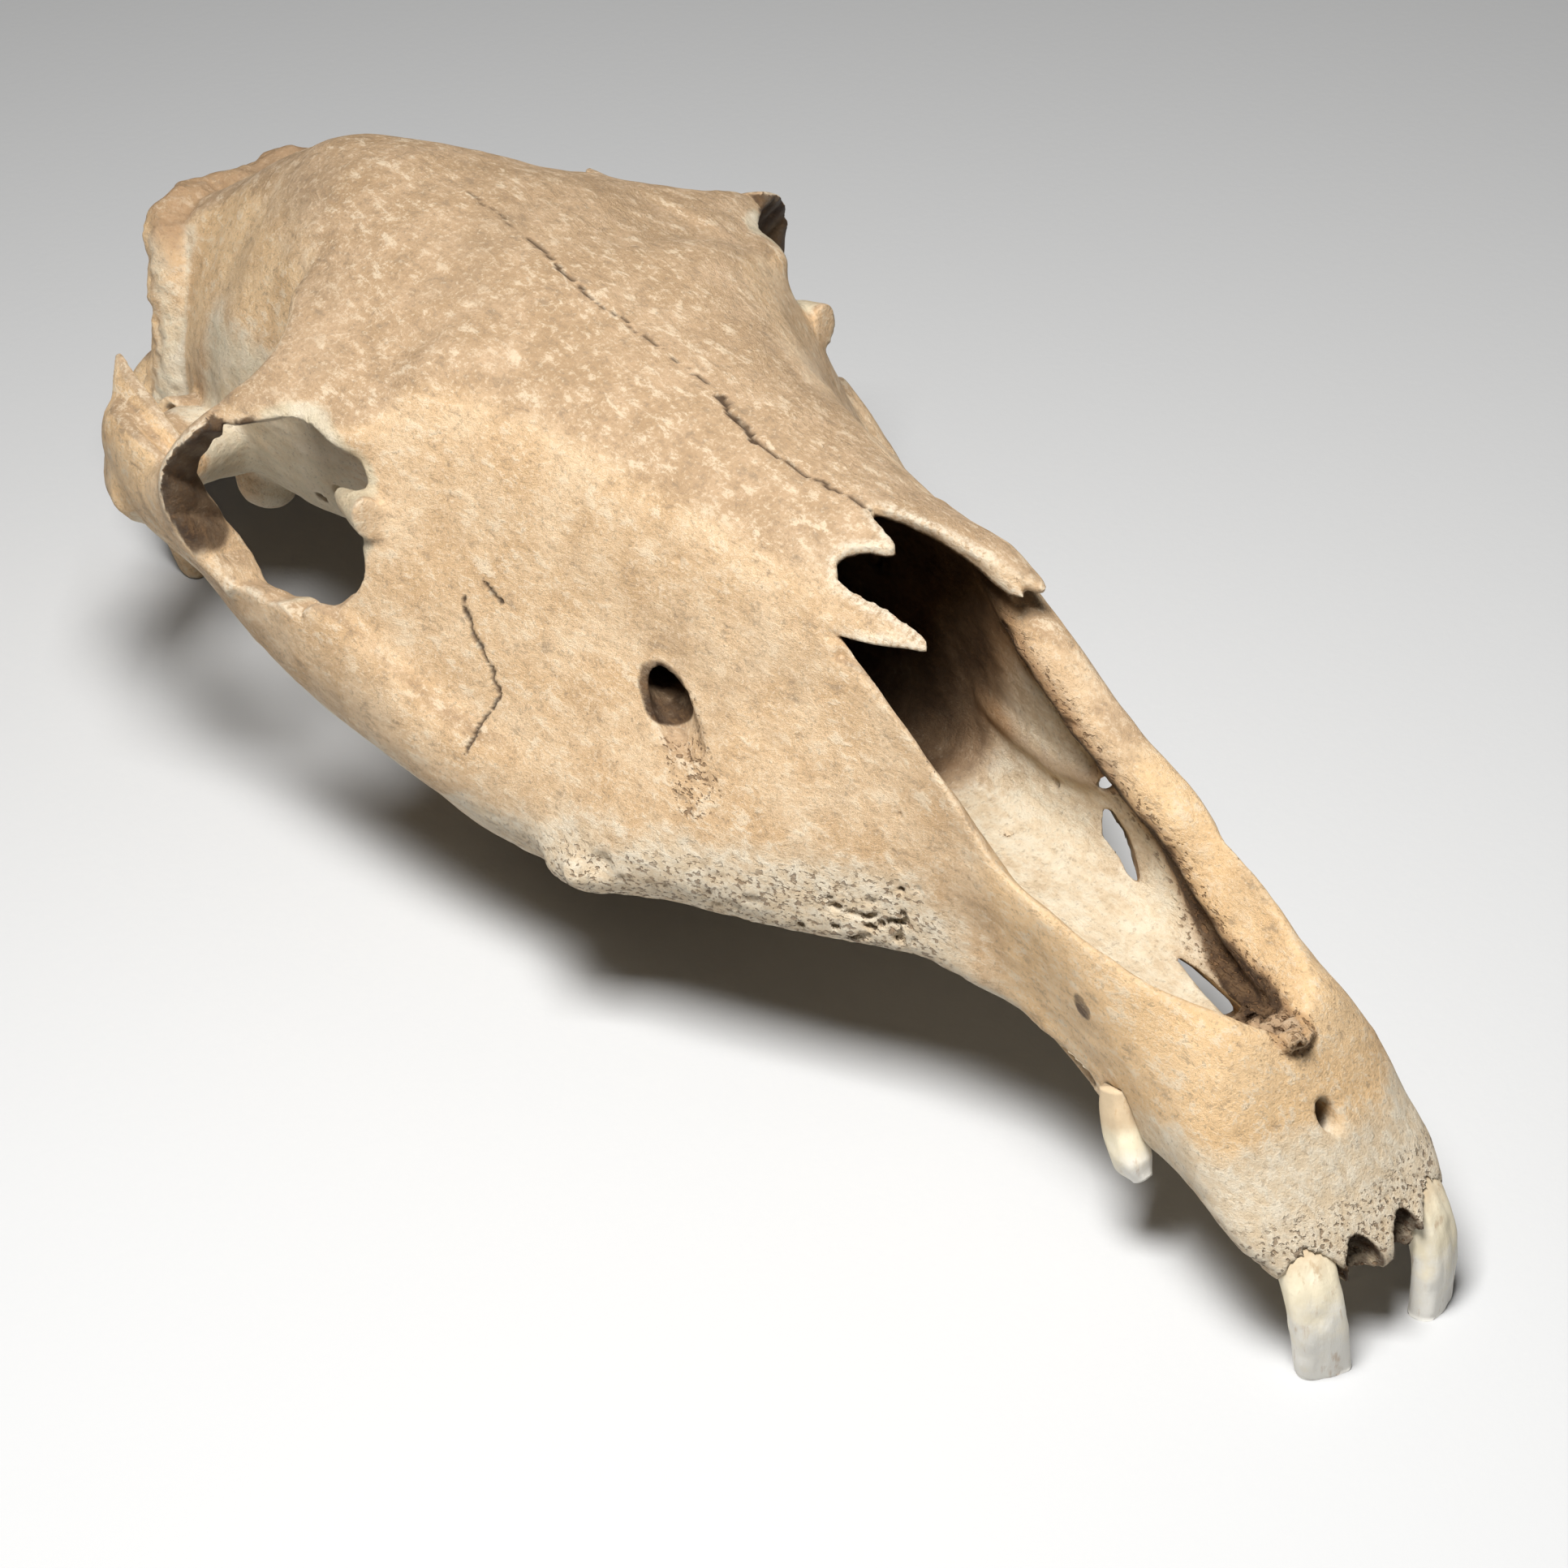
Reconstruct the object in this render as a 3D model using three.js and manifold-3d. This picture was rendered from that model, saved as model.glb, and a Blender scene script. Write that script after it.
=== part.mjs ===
// A horse's cranium without its lower jaw: weathered bone, two side incisors and the canines in place,
// the middle and corner incisors and the cheek teeth fallen out, the nasal bones broken off short.
// Skull frame while modelling, in millimetres: X to the animal's left, Y backwards from the incisor
// sockets, Z up. The finished skull is tilted onto its incisor tips and paracondylar processes.
import * as THREE from "three";
import { mergeVertices } from "three/addons/utils/BufferGeometryUtils.js";
import Module from "manifold-3d";

const wasm = await Module();
wasm.setup();

// ---------------------------------------------------------------- driving dimensions
const REST_TILT_DEG = 8.1; // nose-up turn that brings incisor tips and rear processes to one level
const REST_LEVEL = -26.2; // height of the resting plane at Y = 0, before the tilt
const SUTURE_GAP = 0.3; // clear width of every suture between two bones
const WELD_LENGTH = 0.06; // edges of the solids shorter than this are closed up
const FACE_CORNERS = 20; // corners of each cross-section of the face
const BRAINCASE_CORNERS = 16; // corners of each cross-section of the braincase and the shelf
const CAVITY_CORNERS = 14; // corners of each cross-section of the nasal cavity
const BONE_COLOUR = 0xc9ab7d;
const PALE_BONE_COLOUR = 0xd9cba6;
const TOOTH_COLOUR = 0xe4dabf;

// Lines of the skull, each a list of [Y, value] knots with a smooth curve through them.
const DORSAL_HEIGHT = [
  [-3, 3], [6, 17], [18, 37], [28, 54], [36, 60], [50, 65], [60, 72], [80, 98], [100, 114],
  [130, 127], [150, 134.5], [171, 141], [205, 147.5], [240, 156.5], [275, 164.5], [304, 171],
  [334, 177], [360, 182], [384, 185], [408, 183.5], [430, 176], [455, 164], [474, 154], [484, 149],
  [492, 138],
];
const SHOULDER_HALF_WIDTH = [
  [-3, 11], [6, 16], [18, 17], [30, 15.5], [44, 17.5], [60, 22], [100, 23], [150, 22], [171, 24],
  [205, 28.5], [240, 33.5], [275, 43], [304, 52], [312, 46], [320, 28],
];
const SHOULDER_HEIGHT = [
  [-3, 2], [6, 14], [18, 32], [30, 55], [44, 62], [60, 69], [80, 88], [100, 101], [130, 116],
  [150, 124], [171, 130], [205, 138], [240, 146], [275, 155], [304, 162], [320, 156],
];
const SIDE_HALF_WIDTH = [
  [-3, 15], [6, 24.5], [18, 29], [30, 28.5], [45, 26], [60, 26.5], [100, 27.5], [130, 28], [150, 31],
  [171, 36], [194, 42.5], [215, 47], [240, 53], [275, 62.5], [290, 70], [304, 76], [312, 68], [320, 40],
];
const SIDE_HEIGHT = [
  [-3, 0], [6, 9], [18, 20], [30, 36], [45, 46], [60, 54], [80, 68], [100, 80], [130, 94],
  [150, 101], [171, 105], [215, 104], [240, 109], [275, 120], [304, 130], [320, 124],
];
const CREST_HALF_WIDTH = [
  [-3, 15], [6, 26.5], [18, 30.5], [30, 29.5], [45, 27], [60, 25], [80, 23.5], [100, 25], [130, 34],
  [150, 45], [171, 58], [194, 70], [213, 77], [240, 78], [265, 80], [290, 83], [302, 83], [310, 78],
  [316, 62], [320, 42],
];
const CREST_HEIGHT = [
  [-3, -2], [6, 3], [18, 11], [30, 18], [45, 24], [60, 28], [80, 36], [100, 50], [130, 61],
  [171, 62], [194, 59], [213, 56], [240, 57], [265, 60], [290, 70], [302, 76], [320, 92],
];
const MARGIN_HALF_WIDTH = [
  [-3, 10], [6, 19], [18, 25], [30, 25.5], [45, 24.5], [60, 23], [76, 21], [88, 20], [101, 21],
  [115, 27], [130, 33], [140, 38], [155, 46], [183, 54], [215, 57], [250, 57], [285, 54], [302, 50],
  [312, 42], [320, 26],
];
const MARGIN_HEIGHT = [
  [-3, -4], [6, -3], [18, 5], [30, 11], [45, 15], [60, 16], [76, 19], [88, 24], [101, 32],
  [115, 38], [130, 44], [155, 46], [183, 45], [215, 41], [250, 36], [285, 33], [302, 37], [312, 52],
  [320, 76],
];
const PALATE_HEIGHT = [
  [-3, -4], [6, -1], [18, 8], [30, 15], [60, 24], [90, 34], [120, 44], [160, 47], [250, 46],
  [285, 50], [302, 56], [320, 82],
];
const FACE_START = -3;
const FACE_END = 320;
const FACE_TURN = 300; // behind this the face closes in fast, so its sections lie closer together

// Braincase
const TEMPORAL_LINE_HALF_WIDTH = [
  [272, 40], [304, 46], [334, 50], [360, 43], [384, 34], [408, 24], [430, 18], [455, 20], [474, 26],
  [484, 24], [492, 14],
];
const TEMPORAL_LINE_HEIGHT = [
  [272, 148], [304, 156], [334, 162], [360, 167], [384, 172], [408, 173], [430, 169], [455, 157],
  [474, 148], [484, 143], [492, 132],
];
const BRAINCASE_HALF_WIDTH = [
  [272, 38], [304, 42], [334, 44], [360, 48], [384, 51], [408, 52], [430, 48], [455, 42], [474, 37],
  [484, 32], [492, 20],
];
const BRAINCASE_SIDE_HEIGHT = [
  [272, 120], [304, 126], [334, 128], [384, 128], [430, 122], [455, 116], [492, 110],
];
const BASE_HALF_WIDTH = [
  [272, 30], [304, 26], [334, 24], [360, 28], [384, 34], [408, 36], [430, 36], [455, 38], [474, 34],
  [484, 27], [492, 16],
];
const BASE_SIDE_HEIGHT = [
  [272, 84], [304, 88], [334, 88], [384, 84], [430, 85], [455, 84], [492, 84],
];
const BASE_HEIGHT = [
  [272, 80], [304, 83], [334, 84], [384, 80], [430, 78], [455, 76], [492, 80],
];
const BRAINCASE_START = 272;
const BRAINCASE_END = 492;
const BRAINCASE_TURN = 464; // behind this the braincase closes in fast

// Frontal shelf over the orbits
const SHELF_START = 268;
const SHELF_END = 366;
const SHELF_CORNER = 308; // where the rim turns outwards over the orbit
const SHELF_HALF_WIDTH = [
  [268, 36], [284, 44], [293, 54], [300, 69], [306, 75], [316, 78], [334, 83], [350, 88], [366, 88],
];
const SHELF_RIM_HEIGHT = [
  [268, 134], [284, 142], [300, 148.5], [316, 149.5], [334, 151], [350, 153], [366, 152],
];
const SHELF_RIM_THICKNESS = 5;
const SHELF_FALL = 0.42; // share of the roof's fall that lies inside the outer half of the shelf

// Zygomatic arch: centre line [X, Y, Z], height and thickness of its section
const ARCH_PATH = [
  [62, 226, 66], [72, 246, 67], [79, 272, 72], [83, 292, 80], [86.5, 314, 88], [89, 336, 98],
  [92, 358, 112], [94, 380, 120], [89, 401, 124], [75, 415, 115], [50, 426, 108],
];
const ARCH_HEIGHTS = [14, 20, 24, 30, 36, 35, 30, 33, 32, 24, 22];
const ARCH_THICKNESSES = [8, 12, 14, 14, 12.5, 12, 11, 12, 14, 20, 28];
const SPIKE_PATH = [
  [91, 380, 120], [89.5, 391, 130], [85.5, 403, 138.5], [80, 414.5, 144.5],
];
const SPIKE_WIDTHS = [36, 24, 12, 2.4];
const SPIKE_THICKNESSES = [9, 7, 4.5, 2];

// Postorbital bar, from the frontal shelf down to the arch
const BAR_PATH = [
  [56, 330, 157], [72, 334, 152.5], [85, 340, 148], [94, 347, 140], [98.5, 354, 128],
  [97, 361, 116],
];
const BAR_WIDTHS = [30, 19, 17, 18, 22, 28];
const BAR_THICKNESSES = [10, 9, 8, 8, 9, 10];

// Nuchal crest, from the midline round the back of the temporal fossa to the mastoid process
const NUCHAL_CREST_PATH = [
  [-1, 486, 147], [10, 486, 148.5], [20, 483, 149.5], [28, 478, 147], [34, 470, 139],
  [38, 463, 126], [41, 463, 110], [42, 468, 96],
];
const NUCHAL_CREST_WIDTHS = [12, 12, 12, 13, 14, 16, 20, 22];
const NUCHAL_CREST_THICKNESSES = [11, 11, 11, 9, 8, 9, 12, 14];

// Nasal cavity and its broken opening
const NASAL_FLOOR_HEIGHT = [
  [26, 50], [40, 46], [60, 42], [90, 45], [120, 51], [160, 53], [250, 52], [292, 74],
];
const NASAL_ROOF_DROP = 3.6; // thickness of the nasal bones at the break
const NASAL_LEAST_HEIGHT = 18;
const NASAL_HALF_WIDTH = [
  [26, 3], [40, 6.5], [50, 9.5], [60, 12.5], [80, 17], [100, 20], [120, 21.5], [160, 25], [200, 31],
  [240, 33], [292, 24],
];
const NASAL_CAVITY_START = 26;
const NASAL_CAVITY_END = 292;
const NOSTRIL_EDGE = [
  [20, 62], [30, 62], [40, 63], [50, 64.7], [60, 68.5], [70, 72], [80, 76], [90, 80], [100, 84],
  [110, 92], [120, 99], [140, 111], [156, 120], [163, 124],
];
const NOSTRIL_LIP = [
  [20, 9.5], [30, 9.5], [40, 11], [60, 14.5], [80, 14], [100, 12], [120, 10], [140, 6], [163, 2],
]; // how much lower the edge lies at the mouth of the cavity than at the outer side
const NOSTRIL_OUTER = [
  [20, 17], [40, 18.5], [60, 24], [80, 28], [100, 30], [120, 27], [163, 23],
];
const NOTCH_Y = 163;
const NASAL_KEEP_Z = 121.5; // the nasal bones lie above this in front of the notch

// Sockets and teeth
const MIDDLE_SOCKET_X = 7; // centre of the empty sockets of the middle incisors
const INCISOR_PATH = [[16.5, 17, 15], [18.5, 7, 3], [19, 3.5, -9], [17.3, 5, -27.5]]; // root to tip
const INCISOR_WIDTHS = [10, 13, 14, 13.5];
const INCISOR_THICKNESSES = [8, 10, 9.5, 8.5];
const INCISOR_ACROSS = [0.93, 0.36, 0]; // the direction of a side incisor's broad face
const CANINE_PATH = [[23, 66, 30], [24.5, 64, 20], [25, 61, 12], [24.5, 58.5, 7.5]];
const CANINE_WIDTHS = [9.5, 11, 10.5, 6];
const CANINE_THICKNESSES = [8, 9, 8.5, 5];
const CHEEK_SOCKETS = [
  [35.5, 161, 18], [41.5, 183, 20], [44.5, 206, 20.5], [46, 229, 20.5], [45.5, 252, 20.5], [43.5, 275, 21],
];
const CHEEK_SOCKET_WIDTH = 16;
const CHEEK_SOCKET_DEPTH = 15;

// Where the sutures part the bones
const PREMAXILLA_SUTURE = [78, 18, 161, 118]; // a sloping plane through two [Y, Z] points
const NASAL_SUTURE = [157, 120.5, 268, 150];
const MAXILLA_SUTURE_Y = 268;
const PALATINE_SUTURE_Y = 331;
const FRONTAL_SUTURE_Y = 376;
const OCCIPITAL_SUTURE_Y = 448;
const BASE_SUTURE_Z = 112;
const ARCH_SUTURE_X = 60;
const ARCH_SUTURE_Y = 316;
const ARCH_SUTURE_Z = 133;
const ARCH_FREE_Y = 372; // behind this the arch stands free of the frontal bone up to its top

// ---------------------------------------------------------------- helpers
function along(knots) {
  // Smooth value between [Y, value] knots, with no overshoot.
  const n = knots.length;
  const slopes = knots.map((knot, i) => {
    if (i === 0 || i === n - 1) return 0;
    const before = (knot[1] - knots[i - 1][1]) / (knot[0] - knots[i - 1][0]);
    const after = (knots[i + 1][1] - knot[1]) / (knots[i + 1][0] - knot[0]);
    return before * after <= 0 ? 0 : (2 * before * after) / (before + after);
  });
  slopes[0] = (knots[1][1] - knots[0][1]) / (knots[1][0] - knots[0][0]);
  slopes[n - 1] = (knots[n - 1][1] - knots[n - 2][1]) / (knots[n - 1][0] - knots[n - 2][0]);
  return (y) => {
    let i = 0;
    while (i < n - 2 && y > knots[i + 1][0]) i += 1;
    const [y0, v0] = knots[i];
    const [y1, v1] = knots[i + 1];
    const h = y1 - y0;
    const t = Math.min(1, Math.max(0, (y - y0) / h));
    const a = (1 + 2 * t) * (1 - t) * (1 - t);
    const b = t * (1 - t) * (1 - t);
    const c = t * t * (3 - 2 * t);
    const d = t * t * (t - 1);
    return a * v0 + b * h * slopes[i] + c * v1 + d * h * slopes[i + 1];
  };
}

function solidFrom(geometry) {
  const bare = geometry.clone();
  bare.deleteAttribute("normal");
  bare.deleteAttribute("uv");
  const merged = mergeVertices(bare, 1e-4);
  return new wasm.Manifold(
    new wasm.Mesh({
      numProp: 3,
      vertProperties: merged.attributes.position.array,
      triVerts: new Uint32Array(merged.index.array),
    }),
  );
}

function geometryFrom(solid) {
  const mesh = solid.getMesh();
  const geometry = new THREE.BufferGeometry();
  geometry.setAttribute("position", new THREE.BufferAttribute(mesh.vertProperties, 3));
  geometry.setIndex(new THREE.BufferAttribute(mesh.triVerts, 1));
  geometry.computeVertexNormals();
  return geometry;
}

function loft(rings) {
  // A closed skin over rings of the same number of points, with flat ends.
  const n = rings[0].length;
  const positions = rings.flat().flatMap((point) => [point.x, point.y, point.z]);
  const index = [];
  for (let r = 0; r < rings.length - 1; r += 1) {
    for (let i = 0; i < n; i += 1) {
      const a = r * n + i;
      const b = r * n + ((i + 1) % n);
      index.push(a, b, b + n, a, b + n, a + n);
    }
  }
  for (const [ring, start, turned] of [
    [rings[0], 0, true],
    [rings[rings.length - 1], (rings.length - 1) * n, false],
  ]) {
    const middle = positions.length / 3;
    const centre = ring.reduce((sum, p) => sum.add(p), new THREE.Vector3()).divideScalar(n);
    positions.push(centre.x, centre.y, centre.z);
    for (let i = 0; i < n; i += 1) {
      const a = start + i;
      const b = start + ((i + 1) % n);
      index.push(...(turned ? [middle, b, a] : [middle, a, b]));
    }
  }
  const geometry = new THREE.BufferGeometry();
  geometry.setAttribute("position", new THREE.Float32BufferAttribute(positions, 3));
  geometry.setIndex(index);
  const solid = solidFrom(geometry);
  if (solid.volume() > 0) return solid;
  const order = geometry.getIndex().array;
  for (let i = 0; i < order.length; i += 3) {
    [order[i + 1], order[i + 2]] = [order[i + 2], order[i + 1]];
  }
  return solidFrom(geometry);
}

function symmetricRing(y, half, count) {
  // A closed ring at Y through half-section corners from the top midline to the bottom midline.
  const right = half.map(([x, z]) => new THREE.Vector3(x, y, z));
  const left = half.slice(1, -1).reverse().map(([x, z]) => new THREE.Vector3(-x, y, z));
  const curve = new THREE.CatmullRomCurve3([...right, ...left], true, "centripetal");
  return curve.getSpacedPoints(count).slice(0, count);
}

function stations(start, end, spacing) {
  const count = Math.max(2, Math.round((end - start) / spacing));
  return Array.from({ length: count + 1 }, (_, i) => start + ((end - start) * i) / count);
}

function closingStations(start, turn, end, wide, close) {
  // Wide spacing up to the turn and close spacing from there to the end.
  return [...stations(start, turn, wide), ...stations(turn, end, close).slice(1)];
}

function bar(path, widths, thicknesses, across, steps, corners = 12) {
  // A bone bar along a smooth path: `widths` run along `across`, thicknesses at right angles to it.
  const curve = new THREE.CatmullRomCurve3(path.map((p) => new THREE.Vector3(...p)), false, "centripetal");
  const knots = (values) => along(values.map((value, i) => [i / (values.length - 1), value]));
  const width = knots(widths);
  const thickness = knots(thicknesses);
  const rings = Array.from({ length: steps + 1 }, (_, i) => {
    const t = i / steps;
    const centre = curve.getPoint(t);
    const tangent = curve.getTangent(t);
    const side = new THREE.Vector3(...across);
    side.addScaledVector(tangent, -side.dot(tangent)).normalize();
    const face = new THREE.Vector3().crossVectors(tangent, side);
    return Array.from({ length: corners }, (_, c) => {
      const angle = (2 * Math.PI * c) / corners;
      return centre
        .clone()
        .addScaledVector(side, (Math.cos(angle) * width(t)) / 2)
        .addScaledVector(face, (Math.sin(angle) * thickness(t)) / 2);
    });
  });
  return loft(rings);
}

function box(width, depth, height, x, y, z, turn = [0, 0, 0]) {
  const geometry = new THREE.BoxGeometry(width, depth, height);
  geometry.rotateX(turn[0]).rotateY(turn[1]).rotateZ(turn[2]).translate(x, y, z);
  return solidFrom(geometry);
}

function ellipsoid(rx, ry, rz, x, y, z, turn = [0, 0, 0], segments = 20) {
  const geometry = new THREE.SphereGeometry(1, segments, Math.round(segments / 2));
  geometry.scale(rx, ry, rz).rotateX(turn[0]).rotateY(turn[1]).rotateZ(turn[2]).translate(x, y, z);
  return solidFrom(geometry);
}

function mirrored(solid) {
  return solid.mirror([1, 0, 0]);
}

function bothSides(solid) {
  return solid.add(mirrored(solid));
}

function sum(solids) {
  return solids.reduce((whole, solid) => whole.add(solid));
}

// ---------------------------------------------------------------- outer bone
const dorsal = along(DORSAL_HEIGHT);
const BLEND = 26; // length over which an overlapping end sinks below its neighbour
const SINK = 3;

function sinking(y, end) {
  // How far a hull lies under its neighbour within BLEND of its own end.
  const near = Math.max(0, 1 - Math.abs(y - end) / BLEND);
  return SINK * near * near;
}

const shoulderX = along(SHOULDER_HALF_WIDTH);
const shoulderZ = along(SHOULDER_HEIGHT);
const sideX = along(SIDE_HALF_WIDTH);
const sideZ = along(SIDE_HEIGHT);
const crestX = along(CREST_HALF_WIDTH);
const crestZ = along(CREST_HEIGHT);
const marginX = along(MARGIN_HALF_WIDTH);
const marginZ = along(MARGIN_HEIGHT);
const palateZ = along(PALATE_HEIGHT);

function faceHull() {
  const rings = closingStations(FACE_START, FACE_TURN, FACE_END, 19, 7).map((y) =>
    symmetricRing(
      y,
      [
        [0, dorsal(y) - sinking(y, FACE_END)],
        [shoulderX(y), shoulderZ(y) - sinking(y, FACE_END)],
        [sideX(y), sideZ(y)],
        [crestX(y), crestZ(y)],
        [marginX(y), marginZ(y)],
        [0, palateZ(y)],
      ],
      FACE_CORNERS,
    ),
  );
  return loft(rings);
}

function braincaseHull() {
  const lineX = along(TEMPORAL_LINE_HALF_WIDTH);
  const lineZ = along(TEMPORAL_LINE_HEIGHT);
  const wallX = along(BRAINCASE_HALF_WIDTH);
  const wallZ = along(BRAINCASE_SIDE_HEIGHT);
  const baseX = along(BASE_HALF_WIDTH);
  const baseSideZ = along(BASE_SIDE_HEIGHT);
  const baseZ = along(BASE_HEIGHT);
  const rings = closingStations(BRAINCASE_START, BRAINCASE_TURN, BRAINCASE_END, 24, 9).map((y) =>
    symmetricRing(
      y,
      [
        [0, dorsal(y) - 2 * sinking(y, BRAINCASE_START)],
        [lineX(y), lineZ(y)],
        [wallX(y), wallZ(y)],
        [baseX(y), baseSideZ(y)],
        [0, baseZ(y)],
      ],
      BRAINCASE_CORNERS,
    ),
  );
  return loft(rings);
}

function frontalShelf() {
  const rimX = along(SHELF_HALF_WIDTH);
  const rimZ = along(SHELF_RIM_HEIGHT);
  const rings = closingStations(SHELF_START, SHELF_CORNER, SHELF_END, 10, 20).map((y) => {
    const edge = rimX(y);
    const height = rimZ(y);
    const top = dorsal(y) + 0.4 - sinking(y, SHELF_START) - sinking(y, SHELF_END);
    return symmetricRing(
      y,
      [
        [0, top],
        [edge * 0.55, top - (top - height) * SHELF_FALL],
        [edge, height],
        [edge - 2, height - SHELF_RIM_THICKNESS],
        [edge * 0.55, height - 6],
        [0, height - 12],
      ],
      BRAINCASE_CORNERS,
    );
  });
  return loft(rings);
}

function zygomaticArch() {
  const arch = bar(ARCH_PATH, ARCH_HEIGHTS, ARCH_THICKNESSES, [0.1, 0, 1], 12, 8);
  const spike = bar(SPIKE_PATH, SPIKE_WIDTHS, SPIKE_THICKNESSES, [0.2, 1, -0.2], 5, 8);
  const jawJoint = bar(
    [[91, 392, 112], [82, 408, 110], [58, 420, 110]],
    [18, 22, 24],
    [12, 18, 16],
    [0, 1, 0],
    4,
    10,
  );
  return sum([arch, spike, jawJoint]);
}

function postorbitalBar() {
  return bar(BAR_PATH, BAR_WIDTHS, BAR_THICKNESSES, [0, 1, 0.12], 10, 10);
}

function facialTuber() {
  return ellipsoid(7, 12, 6.5, 72.5, 218, 55, [0, 0.3, -0.15], 12);
}

function nuchalWings() {
  // The crest that runs from the nuchal corner down and forward to the mastoid process.
  return bar(NUCHAL_CREST_PATH, NUCHAL_CREST_WIDTHS, NUCHAL_CREST_THICKNESSES, [0, 1, 0], 10, 8);
}

function paracondylarProcess() {
  return bar(
    [[42, 470, 100], [45, 472, 84], [46, 474, 66], [44.5, 474, 50], [43, 473, 38]],
    [24, 20, 17, 13, 9],
    [14, 10, 8, 7, 6],
    [0, 1, 0],
    6,
    8,
  );
}

function condyle() {
  return ellipsoid(17, 13, 21, 26, 489, 88, [0.35, 0.25, 0.5], 12);
}

function pterygoidPlate() {
  return bar(
    [[27, 300, 72], [27, 308, 62], [26, 316, 50], [26, 322, 38]],
    [52, 40, 22, 8],
    [9, 7, 6, 5],
    [0, 1, 0.4],
    5,
    8,
  );
}

function outerBone() {
  const vault = sum([faceHull(), braincaseHull(), frontalShelf()]);
  return sum([
    vault.subtract(bothSides(temporalFossa())),
    bothSides(zygomaticArch()),
    bothSides(postorbitalBar()),
    bothSides(facialTuber()),
    bothSides(nuchalWings()),
    bothSides(paracondylarProcess()),
    bothSides(condyle()),
    bothSides(pterygoidPlate()),
  ]);
}

// ---------------------------------------------------------------- hollows
function nasalCavity() {
  const floor = along(NASAL_FLOOR_HEIGHT);
  const width = along(NASAL_HALF_WIDTH);
  const rings = stations(NASAL_CAVITY_START, NASAL_CAVITY_END, 24).map((y) => {
    const bottom = floor(y);
    const roof = Math.max(dorsal(y) - NASAL_ROOF_DROP, bottom + NASAL_LEAST_HEIGHT);
    const w = width(y);
    return symmetricRing(
      y,
      [
        [0, roof],
        [w * 0.75, roof - 8],
        [w, roof - (roof - bottom) * 0.45],
        [w * 0.95, bottom + 6],
        [0, bottom],
      ],
      CAVITY_CORNERS,
    );
  });
  return loft(rings);
}

function nostrilOpening() {
  // Everything above the premaxillae, whose upper edges slope inwards to the cavity.
  const edge = along(NOSTRIL_EDGE);
  const lip = along(NOSTRIL_LIP);
  const outer = along(NOSTRIL_OUTER);
  const cavity = along(NASAL_HALF_WIDTH);
  const top = 220;
  const reach = 70;
  const rings = stations(22, NOTCH_Y, 17).map((y) => {
    const high = edge(y);
    const half = [
      [0, top],
      [reach, top],
      [reach, high + 1],
      [outer(y), high],
      [Math.min(cavity(y), outer(y) - 1), high - lip(y)],
      [0, high - lip(y)],
    ];
    const left = half.slice(1, -1).reverse().map(([x, z]) => [-x, z]);
    return [...half, ...left].map(([x, z]) => new THREE.Vector3(x, y, z));
  });
  return loft(rings).subtract(nasalBones());
}

function nasalBones() {
  // The space kept for the nasal bones, which reach forward over the notch.
  const depth = 2 * NOTCH_Y;
  return box(depth, depth, depth, 0, NOTCH_Y - 30 + depth / 2, NASAL_KEEP_Z + depth / 2);
}

function brokenNasals() {
  // The jagged break of the nasal bones, seen from above, cut straight down into the cavity.
  const outline = new THREE.Shape();
  const corners = [
    [-60, 60], [60, 60], [60, 158], [29, 158], [29, 135], [19, 133], [17.5, 139], [16, 146], [14.5, 153],
    [12, 162], [7, 170.5], [3, 176], [0.3, 174], [-2, 161], [-4.5, 161], [-7, 165], [-11, 169], [-14.5, 170],
    [-17.5, 166], [-17, 158], [-15.3, 150.4], [-14.5, 144], [-13.6, 137], [-15.9, 133],
    [-17.5, 139], [-21, 146], [-24.5, 151], [-25, 158], [-60, 158],
  ];
  corners.forEach(([x, y], i) => (i ? outline.lineTo(x, y) : outline.moveTo(x, y)));
  outline.closePath();
  const geometry = new THREE.ExtrudeGeometry(outline, { depth: 100, bevelEnabled: false });
  geometry.translate(0, 0, 117);
  return solidFrom(geometry);
}

function orbit() {
  const socket = ellipsoid(32, 24, 22.5, 77, 322.5, 128.5, [0, -0.2, 0.2], 16);
  const passage = bar(
    [[72, 326, 118], [66, 336, 96], [60, 346, 66]],
    [42, 50, 60],
    [30, 34, 40],
    [0.2, 1, 0],
    4,
    10,
  );
  return socket.add(passage);
}

function temporalFossa() {
  return ellipsoid(42, 52, 40, 84, 395, 165, [0, 0, 0], 16);
}

function choana() {
  return bar(
    [[0, 250, 70], [0, 282, 60], [0, 306, 44], [0, 330, 26]],
    [40, 40, 42, 42],
    [22, 30, 40, 44],
    [1, 0, 0],
    5,
    10,
  );
}

function foramenMagnum() {
  return bar([[0, 462, 112], [0, 480, 106], [0, 512, 98]], [32, 32, 34], [28, 30, 34], [1, 0, 0], 3, 12);
}

function infraorbitalCanal() {
  return bar([[54, 190, 99], [47, 204, 100], [42, 216, 102]], [13, 12, 9], [9, 8, 7], [0, 0, 1], 3, 8);
}

function incisiveCanal() {
  return bar([[0, 8, 34], [0, 24, 30], [0, 44, 8]], [6, 6, 6], [9, 9, 8], [1, 0, 0], 3, 8);
}

function palatineFissure() {
  return bar([[10, 52, 26], [14, 84, 38], [19.5, 117, 47]], [4, 6.5, 5], [36, 36, 36], [1, 0, 0], 4, 8);
}

function incisorSocket() {
  const x = MIDDLE_SOCKET_X;
  return bar(
    [[x * 0.95, -12, -7], [x, -1, 1], [x * 0.95, 14, 12]],
    [9.4, 9, 5],
    [11, 10, 5],
    [1, 0, 0],
    3,
    10,
  );
}

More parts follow.
